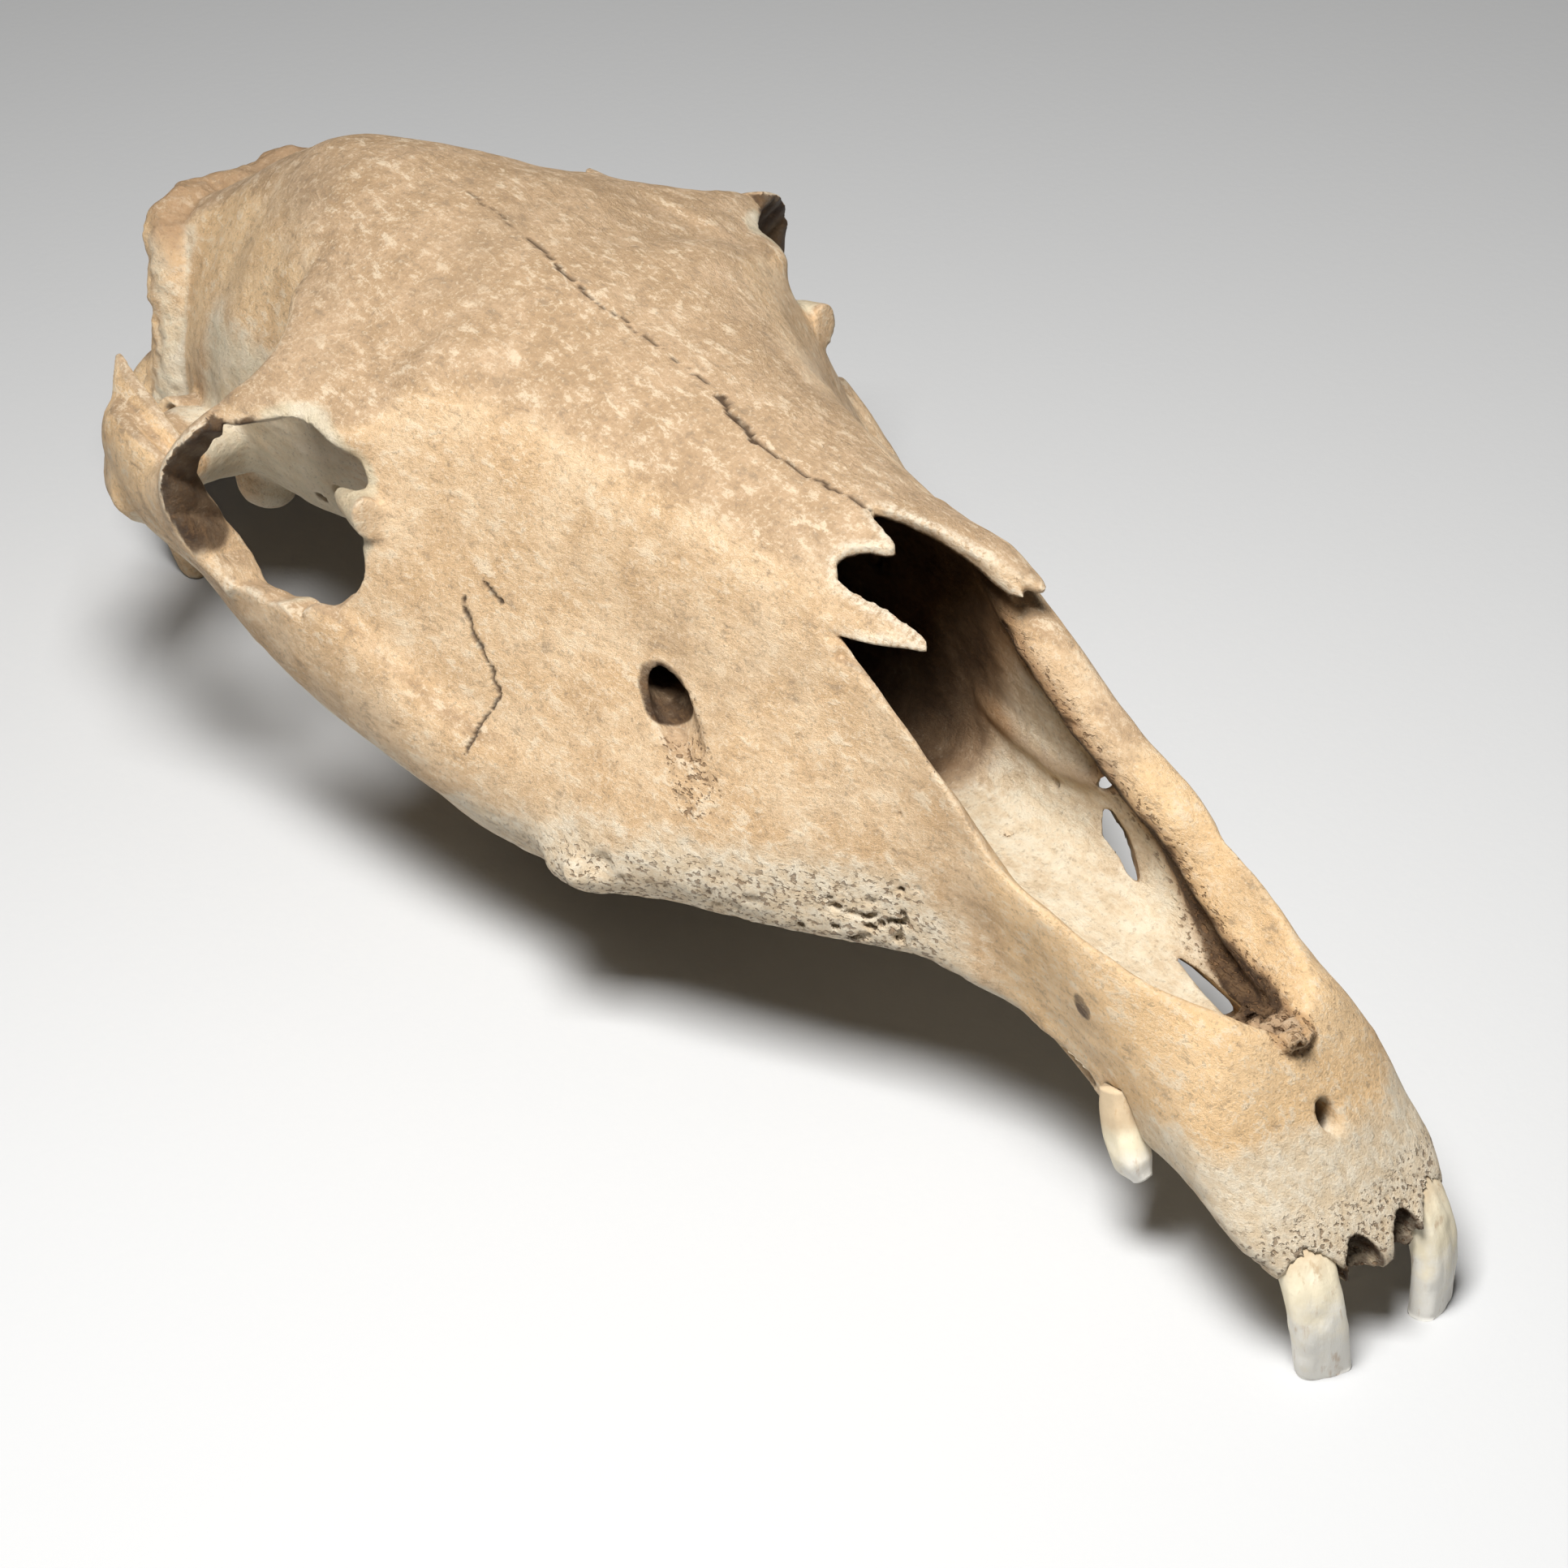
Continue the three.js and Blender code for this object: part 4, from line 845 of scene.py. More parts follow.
def carved_bone():
    bone = Field()
    carve(bone, VAULT_SHAPES)
    bone.values = blurred(bone.values, VAULT_SMOOTHING)
    carve(bone, ARCH_SHAPES)
    carve(bone, BACK_SHAPES)
    cut_nasal_region(bone)
    cut_bar_face(bone)
    carve(bone, ORBIT_SHAPES)
    cut_underside(bone)
    carve(bone, FORAMEN_SHAPES)
    add_small_features(bone)
    carve(bone, TOOTH_ROOM_SHAPES)
    _, y, z = bone.places(tuple(slice(0, n) for n in bone.shape))
    bone.values = np.maximum(bone.values, -over_rest(y, z).astype(np.float32))
    return bone


# ---------------------------------------------------------------- the bone's mesh
class Mesh:
    """Points, faces and vertex normals, with named values at the points."""

    def __init__(self, points, faces):
        self.points = points
        self.faces = faces
        self.values = {}
        self.update_normals()

    def update_normals(self):
        p, f = self.points, self.faces
        across = np.cross(p[f[:, 2]] - p[f[:, 0]], p[f[:, 3]] - p[f[:, 1]])
        normals = np.zeros_like(p)
        for corner in range(4):
            for axis in range(3):
                normals[:, axis] += np.bincount(f[:, corner], across[:, axis], len(p))
        self.normals = normals / np.maximum(np.linalg.norm(normals, axis=1), 1e-9)[:, None]


# Cracks along the midline from above (X, Y), each with its width and depth in millimetres
MIDLINE_CRACKS = [
    ([(2.4, 352), (2.6, 344), (3.4, 338), (2.5, 327)], 0.55, 0.4),
    ([(2.5, 322), (0.4, 305), (-1.6, 288)], 0.75, 0.8),
    ([(-1.6, 286), (0.1, 275), (1.0, 258), (1.2, 250)], 0.5, 0.5),
    ([(0.6, 247), (1.2, 242)], 0.9, 0.9),
    ([(0.5, 236), (-1.4, 228), (-3.4, 216), (-3.2, 212)], 1.2, 1.3),
    ([(-3.4, 212), (-1, 193), (0.5, 182), (0.3, 172)], 0.7, 0.9),
]
CHEEK_CRACKS = [  # on the right side only, Y and Z
    [(266, 115), (262, 112), (260, 111)],
    [(271, 111), (268, 106), (264, 102), (261, 99), (257, 95), (254, 89.5), (256, 82), (255.5, 77)],
]


CRACK_EDGE = 0.2  # a crack has its full depth within this distance of its line
LEAST_CRACK = 0.3  # and reaches at least this far


def crack_depth(points, normals):
    """How deep the cracks are at each point, in millimetres."""
    waves = np.column_stack([noise(points, 4.2, offset) for offset in (1, 2, 3)])
    wander = points + waves * 1.1
    ragged = 0.8 + 0.5 * noise(points, 3, 4)
    cracks = [(path, slice(0, 2), width, deep) for path, width, deep in MIDLINE_CRACKS]
    cracks += [(path, slice(1, 3), 0.75, 0.8) for path in CHEEK_CRACKS]
    from_above, right = step(normals[:, 2], 0.3, 0.5), step(points[:, 0], -50, -60)
    depth = np.zeros(len(points))
    for path, plane, width, deep in cracks:
        reach = np.maximum(width * ragged, LEAST_CRACK)
        side = right if plane.start else from_above
        depth = np.maximum(depth, deep * side * beside(wander[:, plane], path, reach, CRACK_EDGE))
    return depth


ORBIT_ROUND = (34, 27, 26)
PORE_SLOPE = [(52, 199, 98), (58, 184, 83)]  # under the infraorbital opening
DEEP_CANAL = [(46, 206, 97), (36, 224, 101)]
FRONT_SOCKET = [(7, -6, -4), (7, 3, 3), (7, 14, 11)]
CREST_STAIN = [(-77, 207, 60), (-73, 205, 63)]
BAR_STAIN = [(-26.4, 72.5, 51), (-26.4, 73, 52)]
REST_CLEARANCE = 0.8  # bone this close over the resting plane stays smooth


class Regions:
    """Soft masks from 0 to 1 of the places that colours, stains and pores follow."""

    def __init__(self, mesh, cavity):
        self.place, self.normal = mesh.points, mesh.normals
        self.x, self.y, self.z = self.place.T
        self.sided = np.column_stack([np.abs(self.x), self.y, self.z])
        self.over_margin = self.z - margin_height(self.y)
        self.above_floor = self.z - nasal_floor(self.y)
        self.fuzzy = noise(self.place, 22, 5) * 0.6 + noise(self.place, 7, 6) * 0.4
        self.in_cavity = step(cavity, 1.6, 0.6) * step(self.y, 300, 290)
        # the back of the nasal cavity, which gets painted shade
        self.deep = step(self.y + 0.5 * (self.z - 90) + 8 * self.fuzzy, 140, 176)
        self.outer = 1 - self.in_cavity
        self.front_and_cheek()
        self.eye_and_temple()
        self.small_places()

    def front_and_cheek(self):
        cheek = step(self.y, 100, 130) * step(self.y, 275, 245) * self.outer
        self.lower = step(self.over_margin + 9 * self.fuzzy, 44, 14) * cheek
        self.muzzle = step(self.z + 6 * self.fuzzy, 42, 22) * step(self.y, 75, 50)
        self.under = step(self.normal[:, 2], -0.1, -0.6) * self.outer
        self.tube = beside(self.place, PREMAXILLA_TUBE, 11, 8.5)
        self.front_socket = beside(self.sided, FRONT_SOCKET, 7, 5.2)

    def eye_and_temple(self):
        y, z, (_, n_y, n_z) = self.y, self.z, self.normal.T
        self.fossa = step(y, 352, 372) * step(z, 172, 164) * step(n_z, 0.92, 0.7) * self.outer
        from_orbit = np.linalg.norm((self.sided - ORBIT_CENTRE) / ORBIT_ROUND, axis=1)
        self.bar_inside = beside(self.sided, (bar_rim + bar_inner)[:5] / 2, 14, 9) * step(n_y, -0.15, -0.5)
        self.orbit = step(from_orbit, 1.12, 0.98) * (1 - self.bar_inside) * self.outer
        self.crest_line = beside(self.sided, NUCHAL_CREST_PATH, 13, 8)
        self.crest_edge = self.crest_line * step(n_z, 0.35, 0.8)
        crest = beside(self.sided, NUCHAL_CREST_PATH, 21, 12) * step(n_y, 0.3, -0.2)
        self.crest = crest * (1 - 0.6 * self.crest_edge)
        inner = step(self.sided[:, 0], 68, 62) * self.outer
        self.sheltered = step(y, 320, 340) * step(y, 440, 420) * step(z, 150, 136) * inner

    def small_places(self):
        self.slope = beside(self.sided, PORE_SLOPE, 9, 5)
        # the groove under the premaxilla's bar, which gets painted shade
        self.groove = beside(self.place, GROOVE, 6.5, 3.5)
        self.strip = beside(self.place, GROOVE, 11, 5) * step(self.z, 42, 45)
        self.crust = beside(self.place, [CRUST_START, CRUST_END], 8, 5) * step(self.z, 45, 48)
        self.break_edge = beside(self.place[:, :2], NASAL_BREAK, 3.2, 1.2) * step(self.z, 117, 119)
        self.bar_rim = beside(self.sided, BAR_RIM, 4.5, 2.5)


def clipped(*parts):
    return np.clip(sum(parts), 0, 1)


def wear_masks(bone, r):
    """Worn edges, grime in the hollows, dark stains and cracks, by name, with painted shade in the hollows,
    along the groove at the foot of the premaxilla's bar and in the back of the nasal cavity.
    """
    bend = sampled(blurred(np.clip(bone.values, -3, 3), 1.8), bone.origin, r.place)
    broad_bend = sampled(blurred(np.clip(bone.values, -8, 8), 4.5), bone.origin, r.place)
    return {
        "worn": step(bend, 0.3, 0.8) * clipped(0.25, r.break_edge, r.bar_rim),
        # painted shade: darker in the hollows, partly grime and partly the shade that falls there
        "grime_and_hollow_shade": step(broad_bend, -0.4, -2.2),
        # real stains, and painted shade along the groove at the foot of the premaxilla's bar
        "stain_and_groove_shade": clipped(
            0.6 * r.groove, 0.4 * r.crust, 0.5 * r.strip, 0.9 * r.front_socket,
            0.9 * beside(r.sided, DEEP_CANAL, 9, 7), 0.5 * beside(r.place, CREST_STAIN, 9, 3),
            0.8 * beside(r.place, BAR_STAIN, 4.5, 2.5),
        ),
        # painted shade in the back of the nasal cavity, and a real dark stain on the inner face of the
        # postorbital bar
        "dark": clipped(0.75 * r.in_cavity * r.deep, 0.8 * r.bar_inside),
        "crack": step(crack_depth(r.place, r.normal), 0.1, 0.6),
    }


def colour_masks(r):
    """Bleached, gold, warm, rusty and greenish bone, by name. The gold of the sides and front is partly the
    bone's own tone, partly painted light; the rusty brown deep in the nasal cavity is painted shade.
    """
    y, z = r.y, r.z
    shallow = r.in_cavity * (1 - r.deep)
    shown = np.maximum(r.outer, r.tube)
    # painted light: faces that turn sideways, the fossa and the front are made a lighter gold than the top,
    # partly the bone's own warmer tone
    side_or_front = np.maximum(np.maximum(step(r.normal[:, 2], 0.92, 0.62), r.fossa), step(y, 125, 95))
    front_bar = step(y, 118, 92) * step(z, 16, 30) * shown
    # painted shade: the back of the nasal cavity is laid over with rusty brown
    back_of_cavity = r.in_cavity * step(y + 0.5 * (z - 90), 138, 175)
    jaw_side = step(y, 150, 120) * step(y, 55, 80) * step(r.over_margin, 30, 8) * r.outer
    ridge = beside(r.sided, CONCHAL_RIDGE, 6, 2) * r.in_cavity
    return {
        "pale": clipped(
            r.lower, r.muzzle, 0.8 * r.under, 0.75 * r.crest, 0.9 * r.sheltered, 0.8 * shallow * (1 - r.tube)
        ),
        "golden_and_side_light": side_or_front * shown * step(z, 8, 24),
        "warm": np.maximum(front_bar, 0.7 * r.fossa * (1 - r.crest) * (1 - r.sheltered)),
        # real rust on the ridge, strip, crust and crest edge; painted shade in the back and the upper part
        # of the nasal cavity
        "rust_and_cavity_shade": clipped(
            0.8 * ridge, 0.8 * back_of_cavity, 0.3 * r.in_cavity * step(z, 84, 96), 0.8 * r.strip,
            0.9 * r.crust, 0.7 * r.crest_edge,
        ),
        "green": clipped(
            0.2 * r.fossa, 0.4 * r.crest, 0.5 * r.sheltered, 0.8 * r.orbit, 0.4 * jaw_side,
            0.5 * shallow * step(r.above_floor, 22, 6),
        ),
    }


def spongy_mask(r):
    """Where pores open: margins, rims of the sockets, the nasal floor's crust."""
    margin = step(r.over_margin + 7 * r.fuzzy, 24, 6) * step(r.y, 118, 132) * step(r.y, 240, 205) * r.outer
    rims = step(r.z + 5 * r.fuzzy, 24, 10) * step(r.y, 52, 34) * r.outer
    sockets = step(r.over_margin, 4, -2) * step(r.y, 130, 140) * step(r.y, 310, 296)
    return clipped(
        margin, 0.6 * rims, sockets, r.slope, 0.42 * r.lower, 0.22 * r.in_cavity, 0.8 * r.crust,
        0.7 * r.strip, 0.7 * r.front_socket,
    )


def roughen(mesh, r):
    """Undulations, pits and cracks, pushed along the normals."""
    p = r.place
    grain = p * (1, 0.35, 1)
    spongy = mesh.values["spongy"]
    holes = step(noise(grain, 1.9, 14), 0.42, 0.75) * spongy
    lift = 0.35 * noise(p, 14, 10) + 0.2 * noise(p, 5, 11) + 0.09 * noise(grain, 2.2, 12)
    lift += r.crest_line * (1.3 * noise(p, 8, 16) + 0.8 * noise(p, 3, 17))
    lift += 0.2 * spongy * noise(p, 2.6, 15) - 0.6 * holes - crack_depth(p, r.normal)
    thin = step(mesh.values["worn"], 0.95, 0.5)
    lift *= (over_rest(r.y, r.z) > REST_CLEARANCE) * (0.35 + 0.65 * thin)
    mesh.points = p + r.normal * lift[:, None]
    mesh.values["hole"] = holes
    mesh.update_normals()


def bone_mesh():
    bone = carved_bone()
    mesh = Mesh(*bone.mesh())
    window, distance = bone.part(nasal_cavity())
    cavity = np.full(bone.shape, REACH, np.float32)
    cavity[window] = distance
    region = Regions(mesh, sampled(cavity, bone.origin, mesh.points))
    mesh.values = {**wear_masks(bone, region), **colour_masks(region), "spongy": spongy_mask(region)}
    roughen(mesh, region)
    return mesh


def turned(directions):
    """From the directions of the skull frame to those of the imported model."""
    x, y, z = np.asarray(directions, float).T
    turned_y = y * math.cos(REST_TILT) + z * math.sin(REST_TILT)
    turned_z = z * math.cos(REST_TILT) - y * math.sin(REST_TILT)
    return np.column_stack([x, turned_y, turned_z])


def rested(points):
    """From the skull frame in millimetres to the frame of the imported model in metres."""
    return (turned(np.asarray(points, float) - (0, 0, REST_LEVEL)) - (0, REST_SHIFT, 0)) / 1000


# ---------------------------------------------------------------- the separate bones
PREMAXILLA_SUTURE = ((78, 18), (161, 118))
NASAL_SUTURE = ((157, 120.5), (268, 150))
MAXILLA_SUTURE_Y = 268
PALATINE_SUTURE_Y = 331
FRONTAL_SUTURE_Y = 376
OCCIPITAL_SUTURE_Y = 448
BASE_SUTURE_Z = 112
ARCH_SUTURE_X = 60
ARCH_SUTURE_Y = 316
ARCH_SUTURE_Z = 133
ARCH_FREE_Y = 372


def over(line, y, z):
    """Whether each place lies over a straight suture in side view."""
    (y0, z0), (y1, z1) = line
    return z > z0 + (y - y0) * (z1 - z0) / (y1 - y0)


def bone_names(centres):
    """The bone that each face belongs to."""
    x, y, z = centres.T
    arch = (np.abs(x) > ARCH_SUTURE_X) & (y > ARCH_SUTURE_Y) & (y < OCCIPITAL_SUTURE_Y)
    arch &= (z < ARCH_SUTURE_Z) | (y > ARCH_FREE_Y)
    name = np.full(len(x), "maxilla", dtype="<U24")
    name[over(PREMAXILLA_SUTURE, y, z)] = "premaxilla"
    name[over(NASAL_SUTURE, y, z)] = "nasal"
    name[(y > MAXILLA_SUTURE_Y) & (z > BASE_SUTURE_Z)] = "frontal"
    name[(y > MAXILLA_SUTURE_Y) & (y < PALATINE_SUTURE_Y) & (z < BASE_SUTURE_Z)] = "maxilla"
    name[(y > PALATINE_SUTURE_Y) & (z < BASE_SUTURE_Z)] = "sphenoid"
    name[(y > FRONTAL_SUTURE_Y) & (z > BASE_SUTURE_Z)] = "parietal"
    name[y > OCCIPITAL_SUTURE_Y] = "occipital"
    name[arch] = "zygomatic_arch"
    single = np.isin(name, ["sphenoid", "parietal", "occipital"])
    sided = np.char.add(name, np.where(x > 0, "_left", "_right"))
    return np.where(single, name, sided)


def blender_mesh(name, points, faces, normals=None, values=None):
    mesh = bpy.data.meshes.new(name)
    mesh.vertices.add(len(points))
    mesh.vertices.foreach_set("co", np.asarray(points, np.float32).ravel())
    faces = np.asarray(faces)
    corners = faces.shape[1]
    mesh.loops.add(faces.size)
    mesh.loops.foreach_set("vertex_index", faces.ravel().astype(np.int32))
    mesh.polygons.add(len(faces))
    mesh.polygons.foreach_set("loop_start", np.arange(0, faces.size, corners, dtype=np.int32))
    mesh.polygons.foreach_set("loop_total", np.full(len(faces), corners, np.int32))
    mesh.update()
    mesh.validate()
    for key, value in (values or {}).items():
        attribute = mesh.attributes.new(key, "FLOAT", "POINT")
        attribute.data.foreach_set("value", np.asarray(value, np.float32))
    mesh.polygons.foreach_set("use_smooth", np.ones(len(mesh.polygons), bool))
    if normals is not None:
        mesh.normals_split_custom_set_from_vertices(normals.astype(np.float32))
    piece = bpy.data.objects.new(name, mesh)
    bpy.context.scene.collection.objects.link(piece)
    return piece


def bone_pieces(mesh, material):
    """One piece for each bone; neighbours share the points and normals of their common border."""
    names = bone_names(mesh.points[mesh.faces].mean(1))
    places, normals = rested(mesh.points), turned(mesh.normals)
    for name in sorted(set(names)):
        faces = mesh.faces[names == name]
        used, index = np.unique(faces, return_inverse=True)
        values = {key: value[used] for key, value in mesh.values.items()}
        piece = blender_mesh(
            "bone_" + name, places[used], index.reshape(faces.shape), normals[used], values
        )
        piece.data.materials.append(material)
        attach(piece, "root")
        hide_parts(str(name))


# ---------------------------------------------------------------- materials
class Shader:
    """A material's node tree, built with short calls that return sockets."""

    def __init__(self, name):
        self.material = bpy.data.materials.new(name)
        self.material.use_nodes = True
        self.tree = self.material.node_tree
        self.surface = self.tree.nodes["Principled BSDF"]
        self.place = self.node("TexCoord").outputs["Object"]

    def link(self, value, socket):
        if isinstance(value, bpy.types.NodeSocket):
            self.tree.links.new(value, socket)
        else:
            socket.default_value = value

    def node(self, kind, **inputs):
        """A new node, with values or links at its inputs."""
        node = self.tree.nodes.new("ShaderNode" + kind)
        for name, value in inputs.items():
            self.link(value, node.inputs[name])
        return node

    def attribute(self, name):
        node = self.node("Attribute")
        node.attribute_name = name
        return node.outputs["Fac"]

    def stretched(self, scale):
        return self.node("Mapping", Scale=scale, Vector=self.place).outputs["Vector"]

    def noise(self, size, detail=4, roughness=0.55, place=None, distortion=0.0):
        """Noise with lumps of about that size in millimetres."""
        node = self.node(
            "TexNoise", Vector=place or self.place, Scale=1000 / size, Detail=detail, Roughness=roughness,
            Distortion=distortion,
        )
        return node.outputs["Fac"]

    def math(self, operation, a, b):
        node = self.node("Math")
        node.operation = operation
        self.link(a, node.inputs[0])
        self.link(b, node.inputs[1])
        return node.outputs[0]

    def times(self, a, b):
        return self.math("MULTIPLY", a, b)

    def plus(self, a, b):
        return self.math("ADD", a, b)

    def between(self, value, low, high):
        """0 at low and 1 at high, smooth in between."""
        node = self.node("MapRange", Value=value)
        node.interpolation_type = "SMOOTHSTEP"
        node.inputs["From Min"].default_value = low
        node.inputs["From Max"].default_value = high
        return node.outputs["Result"]

    def mix(self, a, b, share):
        node = self.node("Mix")
        node.data_type = "RGBA"
        self.link(share, node.inputs[0])
        for value, socket in ((a, node.inputs[6]), (b, node.inputs[7])):
            self.link((*value, 1.0) if isinstance(value, tuple) else value, socket)
        return node.outputs[2]

    def blend(self, colour, other, share, amount):
        """The other colour laid over the first, by a share that is scaled by the amount."""
        return self.mix(colour, other, self.times(share, amount))

    def frayed(self, name, pattern, low, high, by=0.9):
        """A mask whose edge follows the pattern, nothing where the value is 0."""
        value = self.attribute(name)
        mask = self.between(self.plus(value, self.times(pattern, by)), low, high)
        return self.times(mask, self.between(value, 0.0, 0.1))

    def finish(self, colour, roughness, specular, height, bump_distance):
        """Lead colour, roughness and bump to the surface and give back the material."""
        for value, name in ((colour, "Base Color"), (roughness, "Roughness")):
            self.link(value, self.surface.inputs[name])
        self.surface.inputs["Specular IOR Level"].default_value = specular
        node = self.node("Bump", Distance=bump_distance, Height=height)
        self.link(node.outputs["Normal"], self.surface.inputs["Normal"])
        return self.material


TAN = (0.46, 0.305, 0.172)
LIGHT_TAN = (0.60, 0.415, 0.255)
# gold tones of the sides and front, lighter than the tan of the top: partly real colour, partly painted
# light
GOLDEN = (0.63, 0.415, 0.225)
LIGHT_GOLDEN = (0.77, 0.565, 0.355)
AMBER = (0.92, 0.62, 0.31)
GREY_TAN = (0.33, 0.245, 0.165)
FLAKE = (0.80, 0.65, 0.46)
CREAM = (0.71, 0.56, 0.375)
WHITE = (0.80, 0.70, 0.54)
GREENISH = (0.62, 0.54, 0.375)
RUST = (0.36, 0.19, 0.08)
BROWN = (0.17, 0.10, 0.05)
DARK_BROWN = (0.05, 0.028, 0.016)
PORE = (0.19, 0.105, 0.05)
IVORY = (0.78, 0.69, 0.50)
ENAMEL = (0.78, 0.755, 0.69)
TOOTH_STAIN = (0.42, 0.25, 0.11)
FLOOR_COLOUR = (0.55, 0.55, 0.547)


def dry_bone(s, broad, patches, flakes, lumps):
    """Tan bone, mottled, with grey patches and light flakes, turned a lighter gold on the sides and front:
    partly its own tone, partly painted light.
    """
    mottled = s.between(s.plus(patches, s.times(flakes, 0.8)), 0.68, 1.14)
    side = s.mix(GOLDEN, LIGHT_GOLDEN, mottled)
    colour = s.mix(s.mix(TAN, LIGHT_TAN, mottled), side, s.frayed("golden_and_side_light", lumps, 0.1, 0.95, 0.8))
    colour = s.blend(colour, AMBER, s.frayed("warm", lumps, 0.2, 0.95), 0.45)
    colour = s.blend(colour, GREY_TAN, s.between(broad, 0.52, 0.74), 0.35)
    colour = s.blend(colour, GREY_TAN, s.between(flakes, 0.47, 0.34), 0.6)
    flaky = s.times(s.between(flakes, 0.53, 0.60), s.between(broad, 0.75, 0.45))
    return s.blend(colour, FLAKE, flaky, 0.75)


def bleached(s, colour, patches, flakes, lumps):
    light = s.mix(CREAM, WHITE, s.between(flakes, 0.40, 0.62))
    colour = s.mix(colour, light, s.frayed("pale", lumps, 0.2, 0.95))
    greenish = s.mix(GREENISH, WHITE, s.between(patches, 0.45, 0.7))
    return s.mix(colour, greenish, s.frayed("green", lumps, 0.3, 1.0, 0.7))


def speckled(s, colour, patches, specks):
    colour = s.blend(colour, FLAKE, s.between(specks, 0.54, 0.62), 0.5)
    colour = s.blend(colour, GREY_TAN, s.between(specks, 0.45, 0.36), 0.5)
    speckle = s.times(s.between(specks, 0.66, 0.75), s.between(patches, 0.66, 0.42))
    return s.blend(colour, BROWN, speckle, 0.35)


def soiled(s, colour, flakes, specks, lumps):
    """Rusty colour, grime, dark brown stains and the white of worn edges, with painted shade in the hollows,
    along the groove and in the back of the nasal cavity.
    """
    # rusty brown, with painted shade in the back and upper part of the nasal cavity
    colour = s.blend(colour, RUST, s.frayed("rust_and_cavity_shade", lumps, 0.35, 1.1, 1.2), 0.75)
    # grime and painted shade in the hollows
    colour = s.blend(colour, BROWN, s.frayed("grime_and_hollow_shade", lumps, 0.45, 1.1), 0.6)
    worn = s.times(s.attribute("worn"), s.between(specks, 0.35, 0.6))
    colour = s.blend(colour, WHITE, worn, 0.9)
    # dark brown of the stains, also used for painted shade
    soil_and_shade = s.mix(DARK_BROWN, BROWN, s.between(flakes, 0.42, 0.68))
    # dark stains, with painted shade along the groove
    colour = s.mix(colour, soil_and_shade, s.frayed("stain_and_groove_shade", lumps, 0.45, 1.0, 1.1))
    # painted shade in the back of the nasal cavity, and the dark stain on the inner face of the postorbital
    # bar
    return s.mix(colour, soil_and_shade, s.frayed("dark", lumps, 0.3, 0.9, 0.6))


def bone_pores(s, grain):
    """Small pores in slightly spongy bone and large ones in very spongy bone."""
    spongy = s.attribute("spongy")
    small = s.noise(1.1, 2, 0.5, s.stretched((1.0, 0.55, 1.0)))
    large = s.noise(2.6, 3, 0.6, grain)
    small_pore = s.times(s.between(small, 0.56, 0.64), s.between(spongy, 0.15, 0.6))
    large_pore = s.times(s.between(large, 0.60, 0.68), s.between(spongy, 0.6, 0.95))
    return s.math("MAXIMUM", small_pore, large_pore)


def bone_material():
    s = Shader("weathered_bone")
    grain = s.stretched((1.0, 0.45, 1.0))
    broad = s.noise(55, 4, 0.6)
    patches = s.noise(16, 8, 0.62, distortion=0.2)
    flakes = s.noise(3.4, 9, 0.78, grain, distortion=0.2)
    specks = s.noise(1.5, 6, 0.75)
    fine = s.noise(0.5, 3, 0.7, grain)
    lumps = s.math("SUBTRACT", s.plus(patches, flakes), 1.0)
    colour = dry_bone(s, broad, patches, flakes, lumps)
    colour = bleached(s, colour, patches, flakes, lumps)
    colour = speckled(s, colour, patches, specks)
    colour = soiled(s, colour, flakes, specks, lumps)
    pores = bone_pores(s, grain)
    for share, amount in ((pores, 0.68), (s.attribute("hole"), 0.3)):
        colour = s.blend(colour, PORE, share, amount)
    colour = s.blend(colour, DARK_BROWN, s.attribute("crack"), 0.9)
    height = s.plus(s.plus(flakes, s.times(specks, 0.42)), s.times(fine, 0.18))
    height = s.math("SUBTRACT", height, s.times(pores, 0.6))
    return s.finish(colour, s.between(patches, 1.9, -0.8), 0.2, height, 0.0012)


def tooth_material():
    s = Shader("stained_tooth")
    crown, table, cup = s.attribute("crown"), s.attribute("table"), s.attribute("cup")
    streaks = s.noise(2.6, 5, 0.6, s.stretched((1.0, 1.0, 0.22)))
    patches = s.noise(6, 4)
    specks = s.noise(1.0, 4)
    uneven = s.math("SUBTRACT", patches, 0.5)
    colour = s.mix(IVORY, ENAMEL, s.between(s.plus(crown, s.times(uneven, 0.8)), 0.4, 0.9))
    streaky = s.times(s.between(streaks, 0.54, 0.68), s.between(patches, 0.42, 0.6))
    gum = s.between(s.plus(crown, s.times(uneven, 0.3)), 0.42, 0.2)
    for share, amount in ((streaky, 0.55), (gum, 0.55), (table, 0.5)):
        colour = s.blend(colour, TOOTH_STAIN, share, amount)
    colour = s.mix(colour, DARK_BROWN, cup)
    height = s.plus(s.times(streaks, 0.6), s.times(specks, 0.15))
    return s.finish(colour, s.between(specks, 1.5, 0.1), 0.5, height, 0.0005)


def floor_material():
    s = Shader("pale_floor")
    return s.finish((*FLOOR_COLOUR, 1), 0.75, 0.2, s.noise(3, 3), 0.00006)


# ---------------------------------------------------------------- teeth
TOOTH_CORNERS, TOOTH_STEPS = 72, 14
TOOTH_SQUARENESS = 2.6
TOOTH_GROOVE_WIDTH = 0.22  # as an angle
INCISOR_GROOVES = [(math.pi / 2 - 0.25, 0.06), (math.pi / 2 + 0.5, 0.05), (-math.pi / 2, 0.10)]
CANINE_GROOVES = [(0.5, 0.05), (2.4, 0.06)]
INCISOR_WEAR, CANINE_WEAR = 1.2, 0.2


